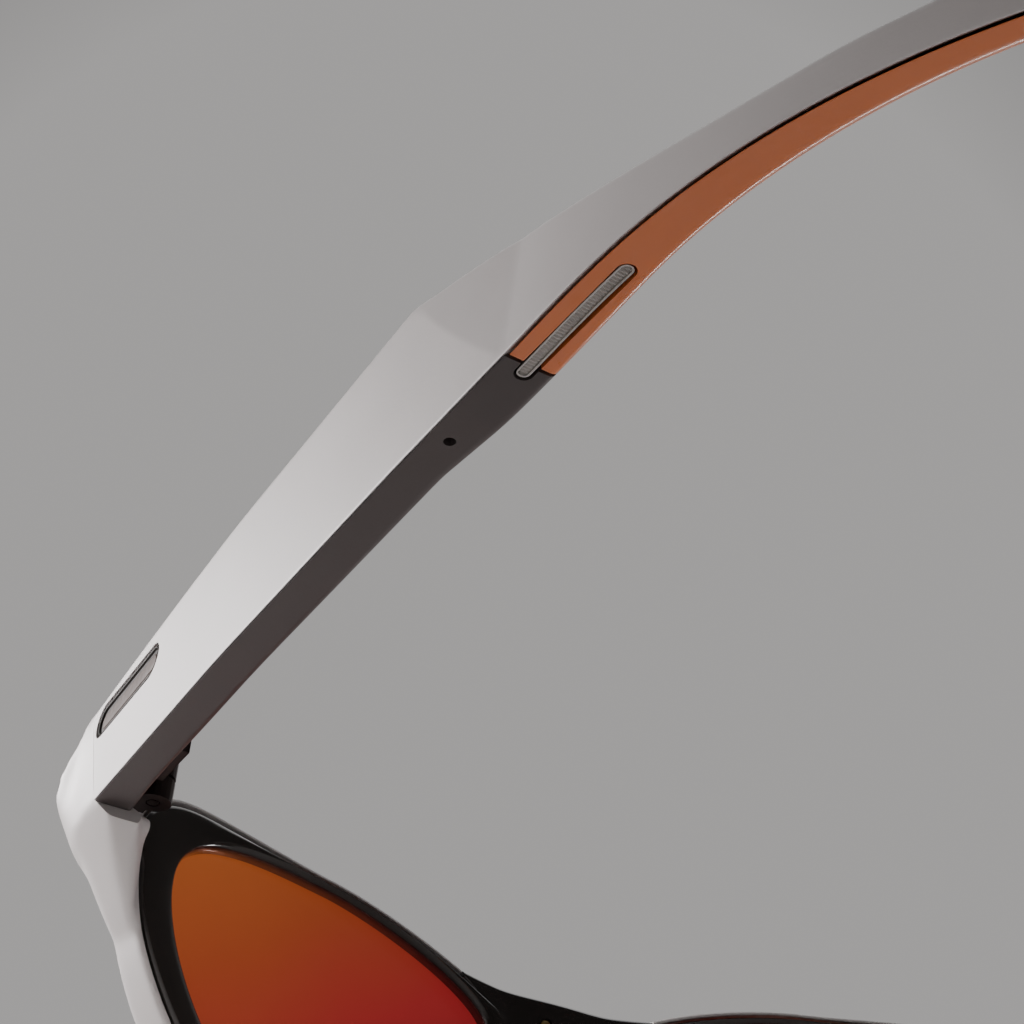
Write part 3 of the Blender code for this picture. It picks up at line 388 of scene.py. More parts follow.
def lensEdge(count):
    # quarter superellipses between the outer, top, nasal and lowest points, evenly spaced by length,
    # each point with its outward normal
    angle = np.linspace(0, 2 * math.pi, 2881)[:-1]
    c, s = np.cos(angle), np.sin(angle)
    middle = np.where(s >= 0, front["top"][0], front["bottom"][0])
    reach = np.where(s >= 0, front["top"][1], front["bottom"][1])
    end = np.where(c >= 0, front["outerX"], front["nasalX"])
    outerTop, nasalTop, nasalLow, outerLow = front["powers"]
    power = np.where(s >= 0, np.where(c >= 0, outerTop, nasalTop), np.where(c >= 0, outerLow, nasalLow))
    edge = np.stack([middle + (end - middle) * np.abs(c) ** (2 / power),
                     front["widestZ"] + (reach - front["widestZ"]) * np.abs(s) ** (2 / power)], -1)
    ring = np.concatenate([edge, edge[:1]])
    walked = np.concatenate([[0], np.cumsum(np.linalg.norm(np.diff(ring, axis=0), axis=1))])
    goal = np.arange(count) / count * walked[-1]
    even = np.stack([np.interp(goal, walked, ring[:, k]) for k in (0, 1)], -1)
    reach = max(1, count // 90)
    way = np.roll(even, -reach, 0) - np.roll(even, reach, 0)
    way /= np.linalg.norm(way, axis=1, keepdims=True)
    return even, np.stack([way[:, 1], -way[:, 0]], -1)


rimCount = 300      # points round each lens
edgePoints, edgeNormals = lensEdge(rimCount)


def rimShare(normals):
    # share of the extra rim width: least over the lens, most in its upper outer corner
    across, up = normals[:, 0], normals[:, 1]
    low = 1 - front["lowFade"] * up * up
    high = 1 - front["topFade"] * up * up + front["corner"] * np.maximum(0, across) * up
    return np.where(up <= 0, low, high)


def rimPoints(points, normals, out, depth, side):
    x = points[:, None, 0] + out * normals[:, None, 0]
    z = points[:, None, 1] + out * normals[:, None, 1]
    return np.stack([side * x, wrap(x, z) + depth, z], -1)


def rimRing(name, profile, side, finish, radius=0.3):
    # a profile of (outward, share of the side width, depth) carried round the lens edge
    out, part, depth = (np.array(column, float)[None] for column in zip(*profile))
    wide = out + front["sideWidth"] * rimShare(edgeNormals)[:, None] * part
    corners = np.stack([wide, np.broadcast_to(depth, wide.shape)], -1)
    radii = radius if isinstance(radius, (list, tuple)) else [radius] * len(profile)
    section = filleted(corners, radii)
    return gridPiece(name, rimPoints(edgePoints, edgeNormals, section[..., 0], section[..., 1], side),
                     finish,
                     loop=True)


# ---- the temple's shape along y
temple = {"span": 67.0, "wall": 1.0, "slant": 0.52, "kinkY": 61.5, "creaseY": 75.3, "lean": 0.09,
          "facetEnd": 106.0, "bendY": 85.0, "drop": 0.006, "turnY": 78.0, "turnGain": 0.0042,
          "turnEnd": 114.0, "length": 140.0, "gap": 0.3,
          "height": ((0, 13.8), (14, 15.3), (30, 15.8), (61.5, 16.5), (70, 14.7), (75.3, 13.1), (82, 9.6),
                     (90, 6.2), (98, 4.4), (112, 4.4), (124, 6.3), (133, 7.0), (140, 6.5)),
          "foot": ((0, 4.0), (8, 3.7), (62, 3.5), (70, 4.1), (82, 4.0), (92, 3.3), (104, 2.6), (114, 2.2),
                   (200, 2.2)),
          "bulge": ((0, 0.0), (10, 0.0), (18, 2.8), (66, 2.8), (90, 1.5), (200, 1.5)),
          "outer": ((0, 4.1), (30, 4.5), (60, 4.2), (78, 3.8), (200, 3.8)), "frontSlope": 0.0133,
          "creaseRoom": (0.8, 1.9)}
easing = {"least": 0.3, "gain": 0.22, "most": 4.0, "samples": 9}


def eased(y, knots):
    # straight lines through the knots, averaged over a window that closes at the top corner
    y = np.asarray(y, float)
    window = np.clip(easing["least"] + easing["gain"] * np.abs(y - temple["kinkY"]), 0, easing["most"])
    window = np.minimum(window, np.maximum(0.0, np.minimum(y, temple["length"] - y)))
    ys, values = zip(*knots)
    spread = window[..., None] * np.linspace(-1, 1, easing["samples"])
    return np.interp(y[..., None] + spread, ys, values).mean(-1)


def outerX(y):
    y = np.asarray(y, float)
    reach = np.clip(y, temple["turnY"], temple["turnEnd"]) - temple["turnY"]
    turnIn = temple["turnGain"] * (reach ** 2 + 2 * reach * np.maximum(0, y - temple["turnEnd"]))
    return temple["span"] + eased(y, temple["outer"]) + temple["frontSlope"] * np.minimum(0, y) - turnIn


def bottomZ(y):
    return -temple["drop"] * np.maximum(0, np.asarray(y, float) - temple["bendY"]) ** 2


def heightAt(y):
    return eased(y, temple["height"])


def footWidth(y):
    return eased(y, temple["foot"])


def innerTop(y):
    return footWidth(y) + eased(y, temple["bulge"]) - 0.4


def facet(y, up):
    # how far the outer face leans in above the crease that runs down behind the top corner
    crease = heightAt(y) * (temple["creaseY"] - y) / (temple["creaseY"] - temple["kinkY"])
    fade = np.clip((temple["facetEnd"] - y) / (temple["facetEnd"] - temple["creaseY"]), 0, 1)
    return temple["lean"] * fade * np.maximum(0, np.minimum(up, up - crease))


def templePoint(side, y, inward, up):
    y = np.broadcast_to(np.asarray(y, float), np.shape(inward))
    slant = temple["slant"] * up * np.maximum(0, 1 - y / 14)
    return side * (outerX(y) - inward), y - slant, bottomZ(y) + up


def stationsAt(first, last, step):
    count = int(round((last - first) / step)) + 1
    fine = np.linspace(first, last, count)
    marks = [mark for mark in (temple["kinkY"], temple["creaseY"]) if first < mark < last]
    return np.unique(np.concatenate([fine, marks]))


def templeLoft(name, side, y, corners, radii, finish):
    # corners of each section are (inward, up) columns worked out for every station at once
    section = filleted(np.stack([np.stack(np.broadcast_arrays(*pair, y)[:2], -1) for pair in corners], 1),
                       radii)
    points = np.stack(templePoint(side, y[:, None], section[..., 0], section[..., 1]), -1)
    return gridPiece(name, points, finish)


badgeSize = {"length": 16.5, "height": 3.4, "y": 4.0, "rise": 10.4, "depth": 0.5}
grilleSize = {"start": 74.1, "length": 12.3, "width": 1.0, "thickness": 0.6, "pitch": 0.30}
buttonSize = {"y": 21.0, "length": 11.0, "width": 2.2}
grilleCentre = (grilleSize["start"] + grilleSize["length"] / 2, float(footWidth(80.0)) / 2 + 0.15)


def onOuter(side):
    return lambda along, across, level: (side * (outerX(along) - level), along, across)


def onUnderside(side):
    return lambda along, across, level: (side * (outerX(along) - across), along, bottomZ(along) + level)


def makeShell(label, side):
    # outer wall and top, from the seam to the ear tip, with a well for the badge
    y = stationsAt(0.0, 137.0, 1.2)
    h, w, lid = heightAt(y), temple["wall"], innerTop(y)
    crease = np.clip(h * (temple["creaseY"] - y) / (temple["creaseY"] - temple["kinkY"]),
                     temple["creaseRoom"][0], h - temple["creaseRoom"][1])
    corners = [(0 * y, 0 * y), (facet(y, crease), crease), (facet(y, h - 0.9), h - 0.9),
               (facet(y, h) + 0.7, h), (lid - 0.4, h), (lid, h - 0.4), (lid, h - w),
               (w + facet(y, h - w), h - w), (w + 0 * y, w + 0 * y)]
    shell = templeLoft("temple_shell_%s_fine" % label, side, y, corners,
                       [0.28, 0.4, 0.6, 0.6, 0.3, 0.3, 0.15, 0.2, 0.2], "shell")
    well = pill("well", badgeSize["length"] + 0.6, badgeSize["height"] + 0.6, onOuter(side), (1, 1),
                (-1.5, badgeSize["depth"] + 0.2), None, (badgeSize["y"], badgeSize["rise"]))
    combined(shell, well, "DIFFERENCE")
    if side < 0:
        middle, top = float(innerTop(buttonSize["y"])) / 2, float(heightAt(buttonSize["y"]))
        opening = pill("opening", buttonSize["length"] + 0.6, buttonSize["width"] + 0.6,
                       lambda along, across, level: templePoint(side, along, across, level), (1, 1),
                       (top - 3.0, top + 2.0), None, (buttonSize["y"], middle))
        combined(shell, opening, "DIFFERENCE")
    settle(shell, "temple_" + label, "shell", "temple_shell_" + label)


def innerCorners(y, miter):
    h, w, foot = heightAt(y), temple["wall"], footWidth(y)
    swell = eased(y, temple["bulge"])
    top = h - w - temple["gap"]
    mid = np.minimum(0.45 * h, top - 0.5)
    lid = innerTop(y)
    return [(miter + 0 * y, 0 * y), (foot, 0 * y), (foot + swell, mid), (lid, top), (lid - w, top),
            (foot + swell - w, mid + 0.2), (foot - 0.4 * w, w + 0 * y), (w + miter + 0 * y, w + 0 * y)]


innerRadii = [0.15, 0.55, 2.6, 0.4, 0.2, 0.5, 0.2, 0.2]


def grilleSlot(side):
    return pill("slot", grilleSize["length"] + 0.4, grilleSize["width"] + 0.4, onUnderside(side), (1, 1),
                (-1.5, 2.5), None, grilleCentre)


def makeCover(label, side):
    # underside and inner wall over the electronics, closed by a bulkhead at the seam; its near-black finish
    # is painted shade in place of the shell's warm grey
    y = stationsAt(0.0, temple["creaseY"], 1.2)
    cover = templeLoft("temple_cover_%s_fine" % label, side, y, innerCorners(y, 0.1), innerRadii,
                       "underside")
    w = temple["wall"]
    ends = np.array([0.0, 0.4, 0.8, 1.2])
    h, foot = heightAt(ends), footWidth(ends)
    bulkhead = templeLoft("bulkhead", side, ends,
                          [(w + 0.42 + 0 * ends, w - 0.3 + 0 * ends), (foot - 0.2, 0.4 + 0 * ends),
                           (foot - 0.2, h - w - 0.3), (w + 0.3 + 0 * ends, h - w - 0.3)], [0.2] * 4, None)
    combined(cover, bulkhead, "UNION")
    combined(cover, grilleSlot(side), "DIFFERENCE")
    hole = pill("hole", 0.92, 0.9, onUnderside(side), (1, 1), (-1.0, 2.0), None, (65.8, 1.75), 12)
    combined(cover, hole, "DIFFERENCE")
    settle(cover, "temple_" + label, "underside", "temple_cover_" + label)


earEnd = {"length": 2.7, "shrink": 1.9}


def makeEar(label, side):
    # orange underside and inner wall from the crease, and the solid rounded tip
    y = stationsAt(temple["creaseY"] + temple["gap"], temple["length"] - earEnd["length"], 1.0)
    ear = templeLoft("ear_section_%s_fine" % label, side, y, innerCorners(y, 0.3), innerRadii, "ear")
    t = np.sin(np.linspace(0, 0.5, 9) * math.pi)
    ends = temple["length"] - earEnd["length"] + earEnd["length"] * t
    shrink = earEnd["shrink"] * (1 - np.sqrt(np.maximum(0, 1 - t * t)))
    h, foot = heightAt(ends), footWidth(ends)
    wide = foot + eased(ends, temple["bulge"])
    tip = templeLoft("tip", side, ends,
                     [(shrink, shrink), (foot - 0.6 * shrink, shrink), (wide - shrink, 0.45 * h),
                      (innerTop(ends) - shrink, h - shrink), (shrink, h - shrink)], [0.9] * 5, None)
    combined(ear, tip, "UNION")
    combined(ear, grilleSlot(side), "DIFFERENCE")
    settle(ear, "temple_" + label, "ear", "ear_section_" + label)


def makeBadge(label, side):
    # stadium plate with a rounded rim, a groove and a raised core
    shares = [0.04, 0.3, 0.46, 0.5, 0.54, 0.6, 0.78, 0.84, 0.88, 0.95, 0.99, 1.0, 1.0, 0.97, 0.5, 0.04]
    levels = [0.16, 0.16, 0.17, 0.19, 0.26, 0.28, 0.27, 0.2, 0.08, 0.03, 0.08, 0.16, 0.44, 0.5, 0.5, 0.5]
    badge = pill("badge_%s_fine" % label, badgeSize["length"], badgeSize["height"], onOuter(side), shares,
                 levels, "badge", (badgeSize["y"], badgeSize["rise"]), 40, rowValues=shares)
    settle(badge, "temple_" + label, "badge", "badge_" + label)


def makeGrille(label, side):
    # slot-shaped plate: ribs across it, each a raised cosine, inside a raised smooth border
    length, half = grilleSize["length"], grilleSize["width"] / 2
    flat = np.linspace(-1, 1, 381) * (length / 2 - half)
    curl = np.sin(np.linspace(0, 0.49, 16) * math.pi)[1:] * half
    u = np.concatenate([flat[0] - curl[::-1], flat, flat[-1] + curl])
    past = np.maximum(0, np.abs(u) - (length / 2 - half))
    reach = np.sqrt(np.maximum(half ** 2 - past ** 2, 1e-4))
    v = np.sin(np.linspace(-0.5, 0.5, 25) * math.pi)
    across = reach[:, None] * v[None]
    inset = half - np.sqrt(past[:, None] ** 2 + across ** 2)
    border = 1 - np.clip((inset - 0.14) / 0.06, 0, 1)
    ribs = 0.5 + 0.5 * np.cos(2 * math.pi * (u[:, None] + 0.0 * across) / grilleSize["pitch"])
    lowest = (0.1 + 0.10 * (1 - border) + 0.13 * (1 - ribs) * (1 - border)
              + 0.06 * np.clip(0.05 - inset, 0, 1))
    upper = np.full_like(across, 0.1 + grilleSize["thickness"])
    section = np.concatenate([lowest, upper[:, ::-1]], 1)
    acrossAll = np.concatenate([across, across[:, ::-1]], 1) + grilleCentre[1]
    along = np.broadcast_to(u[:, None], acrossAll.shape) + grilleCentre[0]
    grille = gridPiece("speaker_grille_%s_fine" % label,
                       np.stack(onUnderside(side)(along, acrossAll, section), -1),
                       "speaker_mesh")
    settle(grille, "temple_" + label, "speaker_mesh", "speaker_grille_" + label)


# ---- the pale front
def makeBridge(name, frontDepth, backDepth, hump=0.0, inset=0.0, finish=None):
    # block between the rims, arched for the nose, with a brow that runs out over the lenses
    inner = front["nasalX"] - 0.9 - inset
    reach = 15.0 - inset
    x = np.unique(np.concatenate([np.linspace(-reach, reach, 121),
                                  [-inner - 0.3, -inner, inner, inner + 0.3]]))
    share = np.minimum(1, np.abs(x) / inner) ** 2
    top = 4.2 + 0.9 * (x / 15.0) ** 2 - inset
    middle, rise = front["top"]
    nasal = np.clip((middle - np.abs(x)) / (middle - front["nasalX"]), 0, 1)
    power = front["powers"][1]
    over = front["widestZ"] + (rise - front["widestZ"]) * (1 - nasal ** power) ** (1 / power)
    low = np.where(np.abs(x) > inner, over + 1.0 + inset, 4.2 - 8.4 - 1.4 * share + inset)
    back = backDepth + hump * (1 - share) ** 2
    edge = np.minimum(0.8, 0.3 * (top - low))
    corners = [(frontDepth + edge, low), (frontDepth + 0 * x, low + edge), (frontDepth + 0 * x, top - edge),
               (frontDepth + edge, top), (back - 0.4, top), (back, top - 0.4), (back, low + 0.4),
               (back - 0.4, low)]
    section = filleted(np.stack([np.stack(pair, -1) for pair in corners], 1), [0.5] * 8)
    across = np.broadcast_to(x[:, None], section.shape[:2])
    z = section[..., 1]
    return gridPiece(name, np.stack([across, wrap(across, z) + section[..., 0], z], -1), finish)


def curved(values, steps):
    # Catmull-Rom curve through each column of a table
    table = np.asarray(values, float)
    ends = np.concatenate([[2 * table[0] - table[1]], table, [2 * table[-1] - table[-2]]])
    t = (np.arange(steps) / steps)[None, :, None]
    a, b, c, d = (ends[k:len(ends) - 3 + k, None] for k in range(4))
    curve = 0.5 * (2 * b + (c - a) * t + (2 * a - 5 * b + 4 * c - d) * t ** 2
                   + (3 * b - a - 3 * c + d) * t ** 3)
    return np.concatenate([curve.reshape(-1, table.shape[1]), table[-1:]])


# rows from the seam to the rim: outer edge x above and below, outer y, inner x and y, underside, top,
# share of the seam's slant
endRows = [(4.1, 4.1, -0.07, 0.3, -0.07, 0.0, 13.8, 1.0), (4.6, 4.1, -3.2, 0.3, -3.0, -0.1, 12.9, 0.72),
           (5.0, 3.9, -5.6, 0.2, -5.0, -0.4, 11.3, 0.5), (5.8, 3.4, -7.8, 0.0, -6.6, -0.8, 9.3, 0.3),
           (6.2, 2.4, -9.8, -0.8, -8.0, -1.4, 7.2, 0.12), (5.8, 0.9, -11.6, -2.2, -9.2, -2.1, 5.6, 0.0),
           (3.0, -1.6, -13.2, -4.0, -10.2, -3.2, 5.0, 0.0),
           (-1.8, -5.2, -14.4, -5.8, -10.9, -4.6, 5.2, 0.0)]


def makeEndPiece(side):
    table = curved([(4.1, 4.1, 2.5, 0.3, 2.5, 0.0, 13.8, 1.0)] + endRows, 12)
    upper, lower, oy, ix, iy, low, top, share = (table[:, k:k + 1] for k in range(8))
    t = np.array([[0, 0, 0, 0.06, 0.2, 0.9, 1, 1, 0.9, 0.2, 0.05]])
    z = np.concatenate([low + 0.9, (low + top) / 2, top - 1.3, top - 0.4, top, top, top - 0.4, low + 0.4,
                        low,
                        low, low + 0.3], 1)
    ox = lower + (upper - lower) * (z - low) / (top - low)
    x = temple["span"] + ox + (ix - ox) * t
    y = oy + (iy - oy) * t - temple["slant"] * share * z
    return gridPiece("end_piece", roundedRings(np.stack([side * x, y, z], -1), 0.35), None)


def roundedRings(rings, share, steps=4):
    # every corner of each ring becomes a parabola that starts and ends part of the way along its sides
    before, after = np.roll(rings, 1, axis=1), np.roll(rings, -1, axis=1)
    starts, ends = rings + (before - rings) * share, rings + (after - rings) * share
    return parabola(starts, rings, ends, steps).reshape(len(rings), -1, 3)


# plate of the end piece under the hinge, seen from above
shelfPlan = [(67.6, -0.9), (66.4, -1.0), (64.3, -1.55), (64.1, -2.6), (64.2, -5.0), (66.6, -8.0),
             (68.5, -5.0)]


def makeShelf(side):
    plan = np.array(shelfPlan)
    middle = plan.mean(0)
    ring = filleted(plan[None], [0.35] * len(plan))[0]
    way = ring - middle
    reach = np.linalg.norm(way, axis=1, keepdims=True)
    levels = ((-0.9, 0.45), (-0.82, 0.2), (-0.6, 0.03), (-0.4, 0.0), (0.7, 0.0))
    rings = [np.concatenate([(middle + way * (reach - inset) / reach) * [side, 1], 0 * reach + level], 1)
             for level, inset in levels]
    return gridPiece("shelf", np.stack(rings), None)


def makeGusset(side):
    # skin stretched over points of the end piece's underside and of the rim's side wall
    points = [(70.9, 2.4, 0.1), (70.3, -3.9, 0.0), (70.1, -7.8, -0.6), (67.6, -11.1, -1.9),
              (65.2, -12.8, -3.1),
              (62.9, -12.8, -8.0), (62.7, -7.3, -8.0), (63.6, -7.2, -2.0), (64.2, -3.4, -0.2),
              (67.0, -0.9, -0.2),
              (67.2, 2.4, 0.1), (69.5, 2.4, 1.5), (68.0, -9.0, 2.0), (63.5, -10.0, 0.0)]
    shape = bmesh.new()
    for place in toWorld(np.array(points) * [side, 1, 1]):
        shape.verts.new(place)
    made = bmesh.ops.convex_hull(shape, input=shape.verts)
    bmesh.ops.delete(shape, geom=list(set(made["geom_interior"] + made["geom_unused"])), context="VERTS")
    bmesh.ops.recalc_face_normals(shape, faces=shape.faces)
    mesh = bpy.data.meshes.new("gusset")
    shape.to_mesh(mesh)
    shape.free()
    gusset = bpy.data.objects.new("gusset", mesh)
    bpy.context.scene.collection.objects.link(gusset)
    return gusset


def makeSeamCut(side):
    # everything rearward of the temple's slanted seam
    corners = [[(side * x, y if y > 0 else y - temple["slant"] * z, z) for x, y in
                ((60.0, -0.07), (76.0, -0.07), (76.0, 9.0), (60.0, 9.0))] for z in (-3.0, 17.0)]
    return gridPiece("seam", np.array(corners), None)


def cornerShare(places):
    # full smoothing at the end pieces, little over the rims and least of all at the seam
    outwards = np.clip((np.abs(places[:, 0]) - 59.0) / 5.0, 0, 1)
    fromSeam = np.clip((-places[:, 1] - temple["slant"] * places[:, 2] - 0.5) / 3.0, 0.05, 1)
    return (0.12 + 0.88 * outwards) * fromSeam


def makeFront():
    # two wrapped rims, the bridge and both end pieces as one moulding, then cut for the lenses, the rear
    # cover and the temples' seams
    profile = [(-0.3, 0, -6.0), (0.6, 0, -6.8), (1.3, 1, -6.8), (2.0, 1, -5.9), (1.5, 1, -1.0),
               (1.3, 1, -0.4),
               (-0.3, 0, -0.4)]
    radii = [0.3, 0.7, 0.9, 0.9, 0.35, 0.35, 0.1]
    recess = [(-1.3, 0, -2.5), (0.9, 1, -2.5), (0.9, 1, 4.0), (-1.3, 0, 4.0)]
    seat = [(-1.3, 0, -4.6), (0.6, 0, -4.6), (0.6, 0, 4.0), (-1.3, 0, 4.0)]
    piece = rimRing("front_frame_fine", profile, 1.0, "shell", radii)
    combined(piece, rimRing("rim", profile, -1.0, None, radii), "UNION")
    combined(piece, makeBridge("bridge", -6.4, -2.25), "UNION")
    for side in sides.values():
        combined(piece, makeEndPiece(side), "UNION")
        combined(piece, makeShelf(side), "UNION")
        combined(piece, makeGusset(side), "UNION")
    softened(piece, cornerShare)
    combined(piece, makeBridge("recess", -2.7, 3.0, inset=0.2), "DIFFERENCE")
    for side in sides.values():
        combined(piece, rimRing("recess", recess, side, None, 0.05), "DIFFERENCE")
        combined(piece, rimRing("seat", seat, side, None, 0.05), "DIFFERENCE")
        combined(piece, makeSeamCut(side), "DIFFERENCE")
    settle(piece, "front", "shell", "front_frame")


bridgeCover = {"back": -0.25, "hump": 1.2, "inset": 0.5}
contactSpots = (-2.2, 2.2)


def makeRearCover():
    # glossy dark ring behind each lens, joined over the nose, with wells for the two contacts
    profile = [(-0.3, 0, -2.2), (0.0, 1, -2.2), (0.6, 1, -1.6), (0.6, 1, -0.7), (0.3, 0.95, -0.2),
               (0.4, 0.6, 0.0), (0.4, 0.15, -0.1), (-0.1, 0, -0.5), (-0.3, 0, -1.1)]
    radii = [0.1, 0.1, 0.3, 0.4, 0.4, 0.8, 0.5, 0.3, 0.3]
    piece = rimRing("rear_cover_fine", profile, 1.0, "cover", radii)
    combined(piece, rimRing("ring", profile, -1.0, None, radii), "UNION")
    combined(piece,
             makeBridge("bridge", -2.1, bridgeCover["back"], bridgeCover["hump"], bridgeCover["inset"]),
             "UNION")
    for x in contactSpots:
        well = pill("well", 2.42, 2.4, lambda along, across, level: (along, level, across), (1, 1),
                    (contactBase(x), contactBase(x) + 2.7), None, (x, 0.0), 16)
        combined(piece, well, "DIFFERENCE")
    settle(piece, "front", "cover", "rear_cover")


def contactBase(x):
    # depth of the contact's seat, under the swollen rear face over the nose
    inner = front["nasalX"] - 1.4
    surface = wrap(x, 0.0) + bridgeCover["back"] + bridgeCover["hump"] * (1 - (x / inner) ** 2) ** 2
    return float(surface - 1.0)


def makeContacts():
    for k, x in enumerate(contactSpots):
        base = contactBase(x) + 0.3
        shares, levels = [0.05, 1.0, 1.0, 0.96, 0.86, 0.5, 0.05], [0.0, 0.0, 0.55, 0.64, 0.69, 0.70, 0.70]
        contact = pill("charge_contact_%d_fine" % (k + 1), 1.81, 1.8,
                       lambda along, across, level: (along, base + level, across), shares, levels,
                       "contact_gold",
                       (x, 0.0), 16)
        settle(contact, "front", "contact_gold", "charge_contact_%d" % (k + 1))


def makeLens(label, side):
    # rings shrink towards the lens centre over the front face, and the rear face closes it
    centre = np.array([front["top"][0], -9.0])
    shares = np.concatenate([np.linspace(0.02, 0.98, 30), [0.995, 1.0, 1.0, 0.995],
                             np.linspace(0.98, 0.02, 30)])
    depths = np.concatenate([np.full(30, -2.5), [-2.52, -2.6, -4.2, -4.28], np.full(30, -4.3)])
    edge = edgePoints + 0.3 * edgeNormals
    rings = centre + (edge[None] - centre) * shares[:, None, None]
    x, z = rings[..., 0], rings[..., 1]
    lens = gridPiece("lens_%s_fine" % label, np.stack([side * x, wrap(x, z) + depths[:, None], z], -1),
                     "mirror_lens")
    settle(lens, "front", "mirror_lens", "lens_" + label)


def makeNosePad(label, side):
    # soft pad along the nasal side of the rear ring, thickest half-way down and round at both ends
    inside = (edgePoints[:, 0] < 18.6) & (edgePoints[:, 1] > -21) & (edgePoints[:, 1] < -5)
    points, normals = edgePoints[inside], edgeNormals[inside]
    t = np.linspace(0, 1, len(points))[:, None]
    rise = np.sin(math.pi * t) ** 0.7
    thick = 4.2
    corners = [(0.9 + 0 * t, 0.3 + 0 * t), (4.3 + 0 * t, 0.3 + 0 * t),
               (5.1 + 0 * t, 0.7 + 0.3 * thick * rise),
               (4.2 + 0 * t, 0.8 + 0.85 * thick * rise), (2.8 + 0 * t, 0.8 + thick * rise),
               (1.3 + 0 * t, 0.7 + 0.6 * thick * rise)]
    section = filleted(np.stack([np.concatenate(pair, 1) for pair in corners], 1),
                       [0.4, 0.5, 0.9, 1.0, 1.0, 0.9])
    close = (1 - (2 * t - 1) ** 8)[:, :, None] * 0.7 + 0.3
    middle = np.array([2.9, 0.55])
    section = middle + (section - middle) * close
    pad = gridPiece("nose_pad_%s_fine" % label,
                    rimPoints(points, normals, section[..., 0], section[..., 1], side),
                    "nose_rubber")
    settle(pad, "front", "nose_rubber", "nose_pad_" + label)


def makeButton():
    # long pill with a soft crown, in the top of the right temple
    side, middle = -1.0, float(innerTop(buttonSize["y"])) / 2
    top = float(heightAt(buttonSize["y"]))
    shares = [0.06, 1.0, 1.0, 0.97, 0.88, 0.7, 0.4, 0.06]
    levels = [top - 1.4, top - 1.4, top + 0.1, top + 0.25, top + 0.37, top + 0.42, top + 0.45, top + 0.45]
    button = pill("function_button_fine", buttonSize["length"], buttonSize["width"],
                  lambda along, across, level: templePoint(side, along, across, level), shares, levels,
                  "underside", (buttonSize["y"], middle), 30)
    settle(button, "button", "underside", "function_button")


def makeSwitch():
    # slider on the left temple's inner wall, its face a row of cosine ridges
    size = {"y": 27.0, "length": 5.0, "height": 1.8, "proud": 0.9, "ridges": 5}
    reach = float(innerTop(size["y"])) + 0.4 + 0.15
    low = 0.52 * float(heightAt(size["y"]))
    u = np.linspace(-1, 1, 121)
    soften = (1 - u ** 12)[:, None]
    ridge = 0.10 * (1 - np.cos(math.pi * size["ridges"] * (u + 1)))[:, None] * (np.abs(u) < 0.8)[:, None]
    corners = [(reach + 0 * u[:, None], low + 0 * u[:, None]),
               (reach + 0.25 + (size["proud"] - 0.25) * soften - ridge, low + 0 * u[:, None]),
               (reach + 0.25 + (size["proud"] - 0.25) * soften - ridge,
                low + size["height"] + 0 * u[:, None]),
               (reach + 0 * u[:, None], low + size["height"] + 0 * u[:, None])]
    section = filleted(np.stack([np.concatenate(pair, 1) for pair in corners], 1), [0.1, 0.35, 0.35, 0.1])
    y = size["y"] + u[:, None] * size["length"] / 2 + 0 * section[..., 0]
    switch = gridPiece("power_switch_fine",
                       np.stack(templePoint(1.0, y, section[..., 0], section[..., 1]), -1),
                       "black_plastic")
    settle(switch, "switch", "black_plastic", "power_switch")


for label, side in sides.items():
    makeShell(label, side)
    makeCover(label, side)
    makeEar(label, side)
    makeBadge(label, side)
    makeGrille(label, side)
    print("temple made:", label)
makeFront()
makeRearCover()
makeContacts()
for label, side in sides.items():
    makeLens(label, side)
    makeNosePad(label, side)
makeButton()
makeSwitch()
print("front made")

# ---- the frame's own nodes take the finish of their slot
nodeFinishes = {"hinge": "steel", "frame_leaf": "steel", "temple_leaf": "steel", "core": "steel",
                "button_dome": "steel", "battery": "battery_foil", "circuit": "board",
                "microphone": "black_plastic",
                "speaker_driver": "black_plastic", "speaker_ribbon": "contact_gold"}
for name, node in frame["nodes"].items():
    for start, finish in nodeFinishes.items():
        if name.startswith(start):
            for slot in node.material_slots:
                slot.material = finishes[finish]

# ---- stage: a pale floor that only shows from above, soft lights, the camera
world = bpy.data.worlds.new("studio")
bpy.context.scene.world = world
world.use_nodes = True
studio = {"bright": (0.40, 0.39, 0.385), "dim": (0.05, 0.046, 0.045), "towards": (-0.404, -0.672, 0.621),
          "fadeFrom": 0.78, "fadeTo": 0.92}
sky = Wire(world.node_tree)
ray = sky.node("ShaderNodeTexCoord", output="Generated")
facing = sky.node("ShaderNodeVectorMath", {0: ray, 1: studio["towards"]}, "Value", operation="DOT_PRODUCT")
tone = facing.span(studio["fadeFrom"], studio["fadeTo"]).blend(studio["dim"], studio["bright"])
world.node_tree.links.new(tone.socket, world.node_tree.nodes["Background"].inputs["Color"])

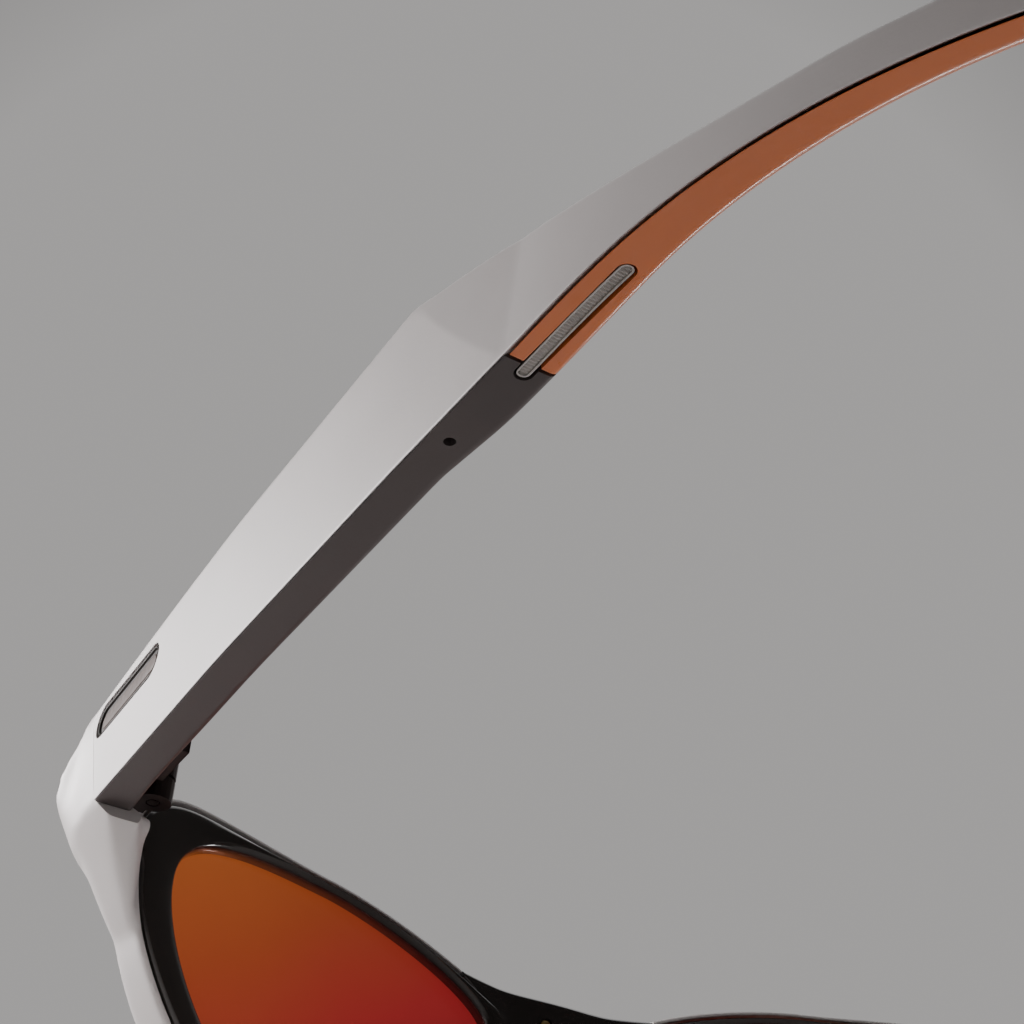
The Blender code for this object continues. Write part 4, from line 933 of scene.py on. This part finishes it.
floorMesh = bpy.data.meshes.new("floor")
reach = 2.0     # metres from the middle of the floor to each edge
floorMesh.from_pydata([(-reach, -reach, 0), (reach, -reach, 0), (reach, reach, 0), (-reach, reach, 0)], [],
                      [(0, 1, 2, 3)])
floor = bpy.data.objects.new("floor", floorMesh)
bpy.context.scene.collection.objects.link(floor)
floorFinish = bpy.data.materials.new("paleFloor")
floorFinish.use_nodes = True
floorTree = floorFinish.node_tree
floorTree.nodes.clear()
floorWire = Wire(floorTree)
paper = floorWire.node("ShaderNodeBsdfDiffuse", {"Color": (0.62, 0.61, 0.60, 1.0)})
under = floorWire.node("ShaderNodeNewGeometry", output="Backfacing")
sheet = floorWire.node("ShaderNodeMixShader", {0: under, 1: paper,
                                               2: floorWire.node("ShaderNodeBsdfTransparent")})
floorTree.links.new(sheet.socket, floorTree.nodes.new("ShaderNodeOutputMaterial").inputs["Surface"])
floorMesh.materials.append(floorFinish)


def softLight(name, place, aim, size, power, colour=(1, 1, 1), spread=180.0):
    data = bpy.data.lights.new(name, "AREA")
    data.shape = "RECTANGLE"
    data.size, data.size_y = size
    data.energy = power
    data.spread = math.radians(spread)
    data.color = colour
    light = bpy.data.objects.new(name, data)
    bpy.context.scene.collection.objects.link(light)
    way = Vector(aim) - Vector(place)
    light.visible_camera = False
    light.matrix_world = Matrix.Translation(place) @ way.to_track_quat("-Z", "Y").to_matrix().to_4x4()


softLight("key", (0.185, -0.17, 0.10), (0.066, -0.065, 0.03), (0.12, 0.12), 0.13,
          (1.0, 0.965, 0.96), 56.0)
softLight("top", (-0.15, -0.15, 0.7), (0, 0, 0), (0.7, 0.7), 1.0)
softLight("edge", (-0.20, -0.13, 0.004), (0.064, 0.03, 0.02), (0.30, 0.02), 0.5)

cameraSpot = {"place": (109.0, 140.7, -73.2), "pitch": 38.4, "yaw": 31.0, "roll": -2.0, "focal": 55.76}
pitch, yaw, roll = (math.radians(cameraSpot[key]) for key in ("pitch", "yaw", "roll"))
forward = np.array([-math.sin(yaw) * math.cos(pitch), -math.cos(yaw) * math.cos(pitch), math.sin(pitch)])
level = np.cross(forward, [0, 0, 1.0])
level /= np.linalg.norm(level)
down = np.cross(forward, level)
rightWay = math.cos(roll) * level + math.sin(roll) * down
downWay = math.cos(roll) * down - math.sin(roll) * level
axes = turned(np.stack([rightWay, -downWay, -forward]))
cameraData = bpy.data.cameras.new("camera")
cameraData.lens = cameraSpot["focal"]
cameraData.sensor_width = 36.0
cameraData.clip_start = 0.001
camera = bpy.data.objects.new("camera", cameraData)
bpy.context.scene.collection.objects.link(camera)
turn = Matrix([[axes[column][row] for column in range(3)] for row in range(3)]).to_4x4()
camera.matrix_world = Matrix.Translation(Vector(toWorld(cameraSpot["place"]))) @ turn
bpy.context.scene.camera = camera
print("stage set")
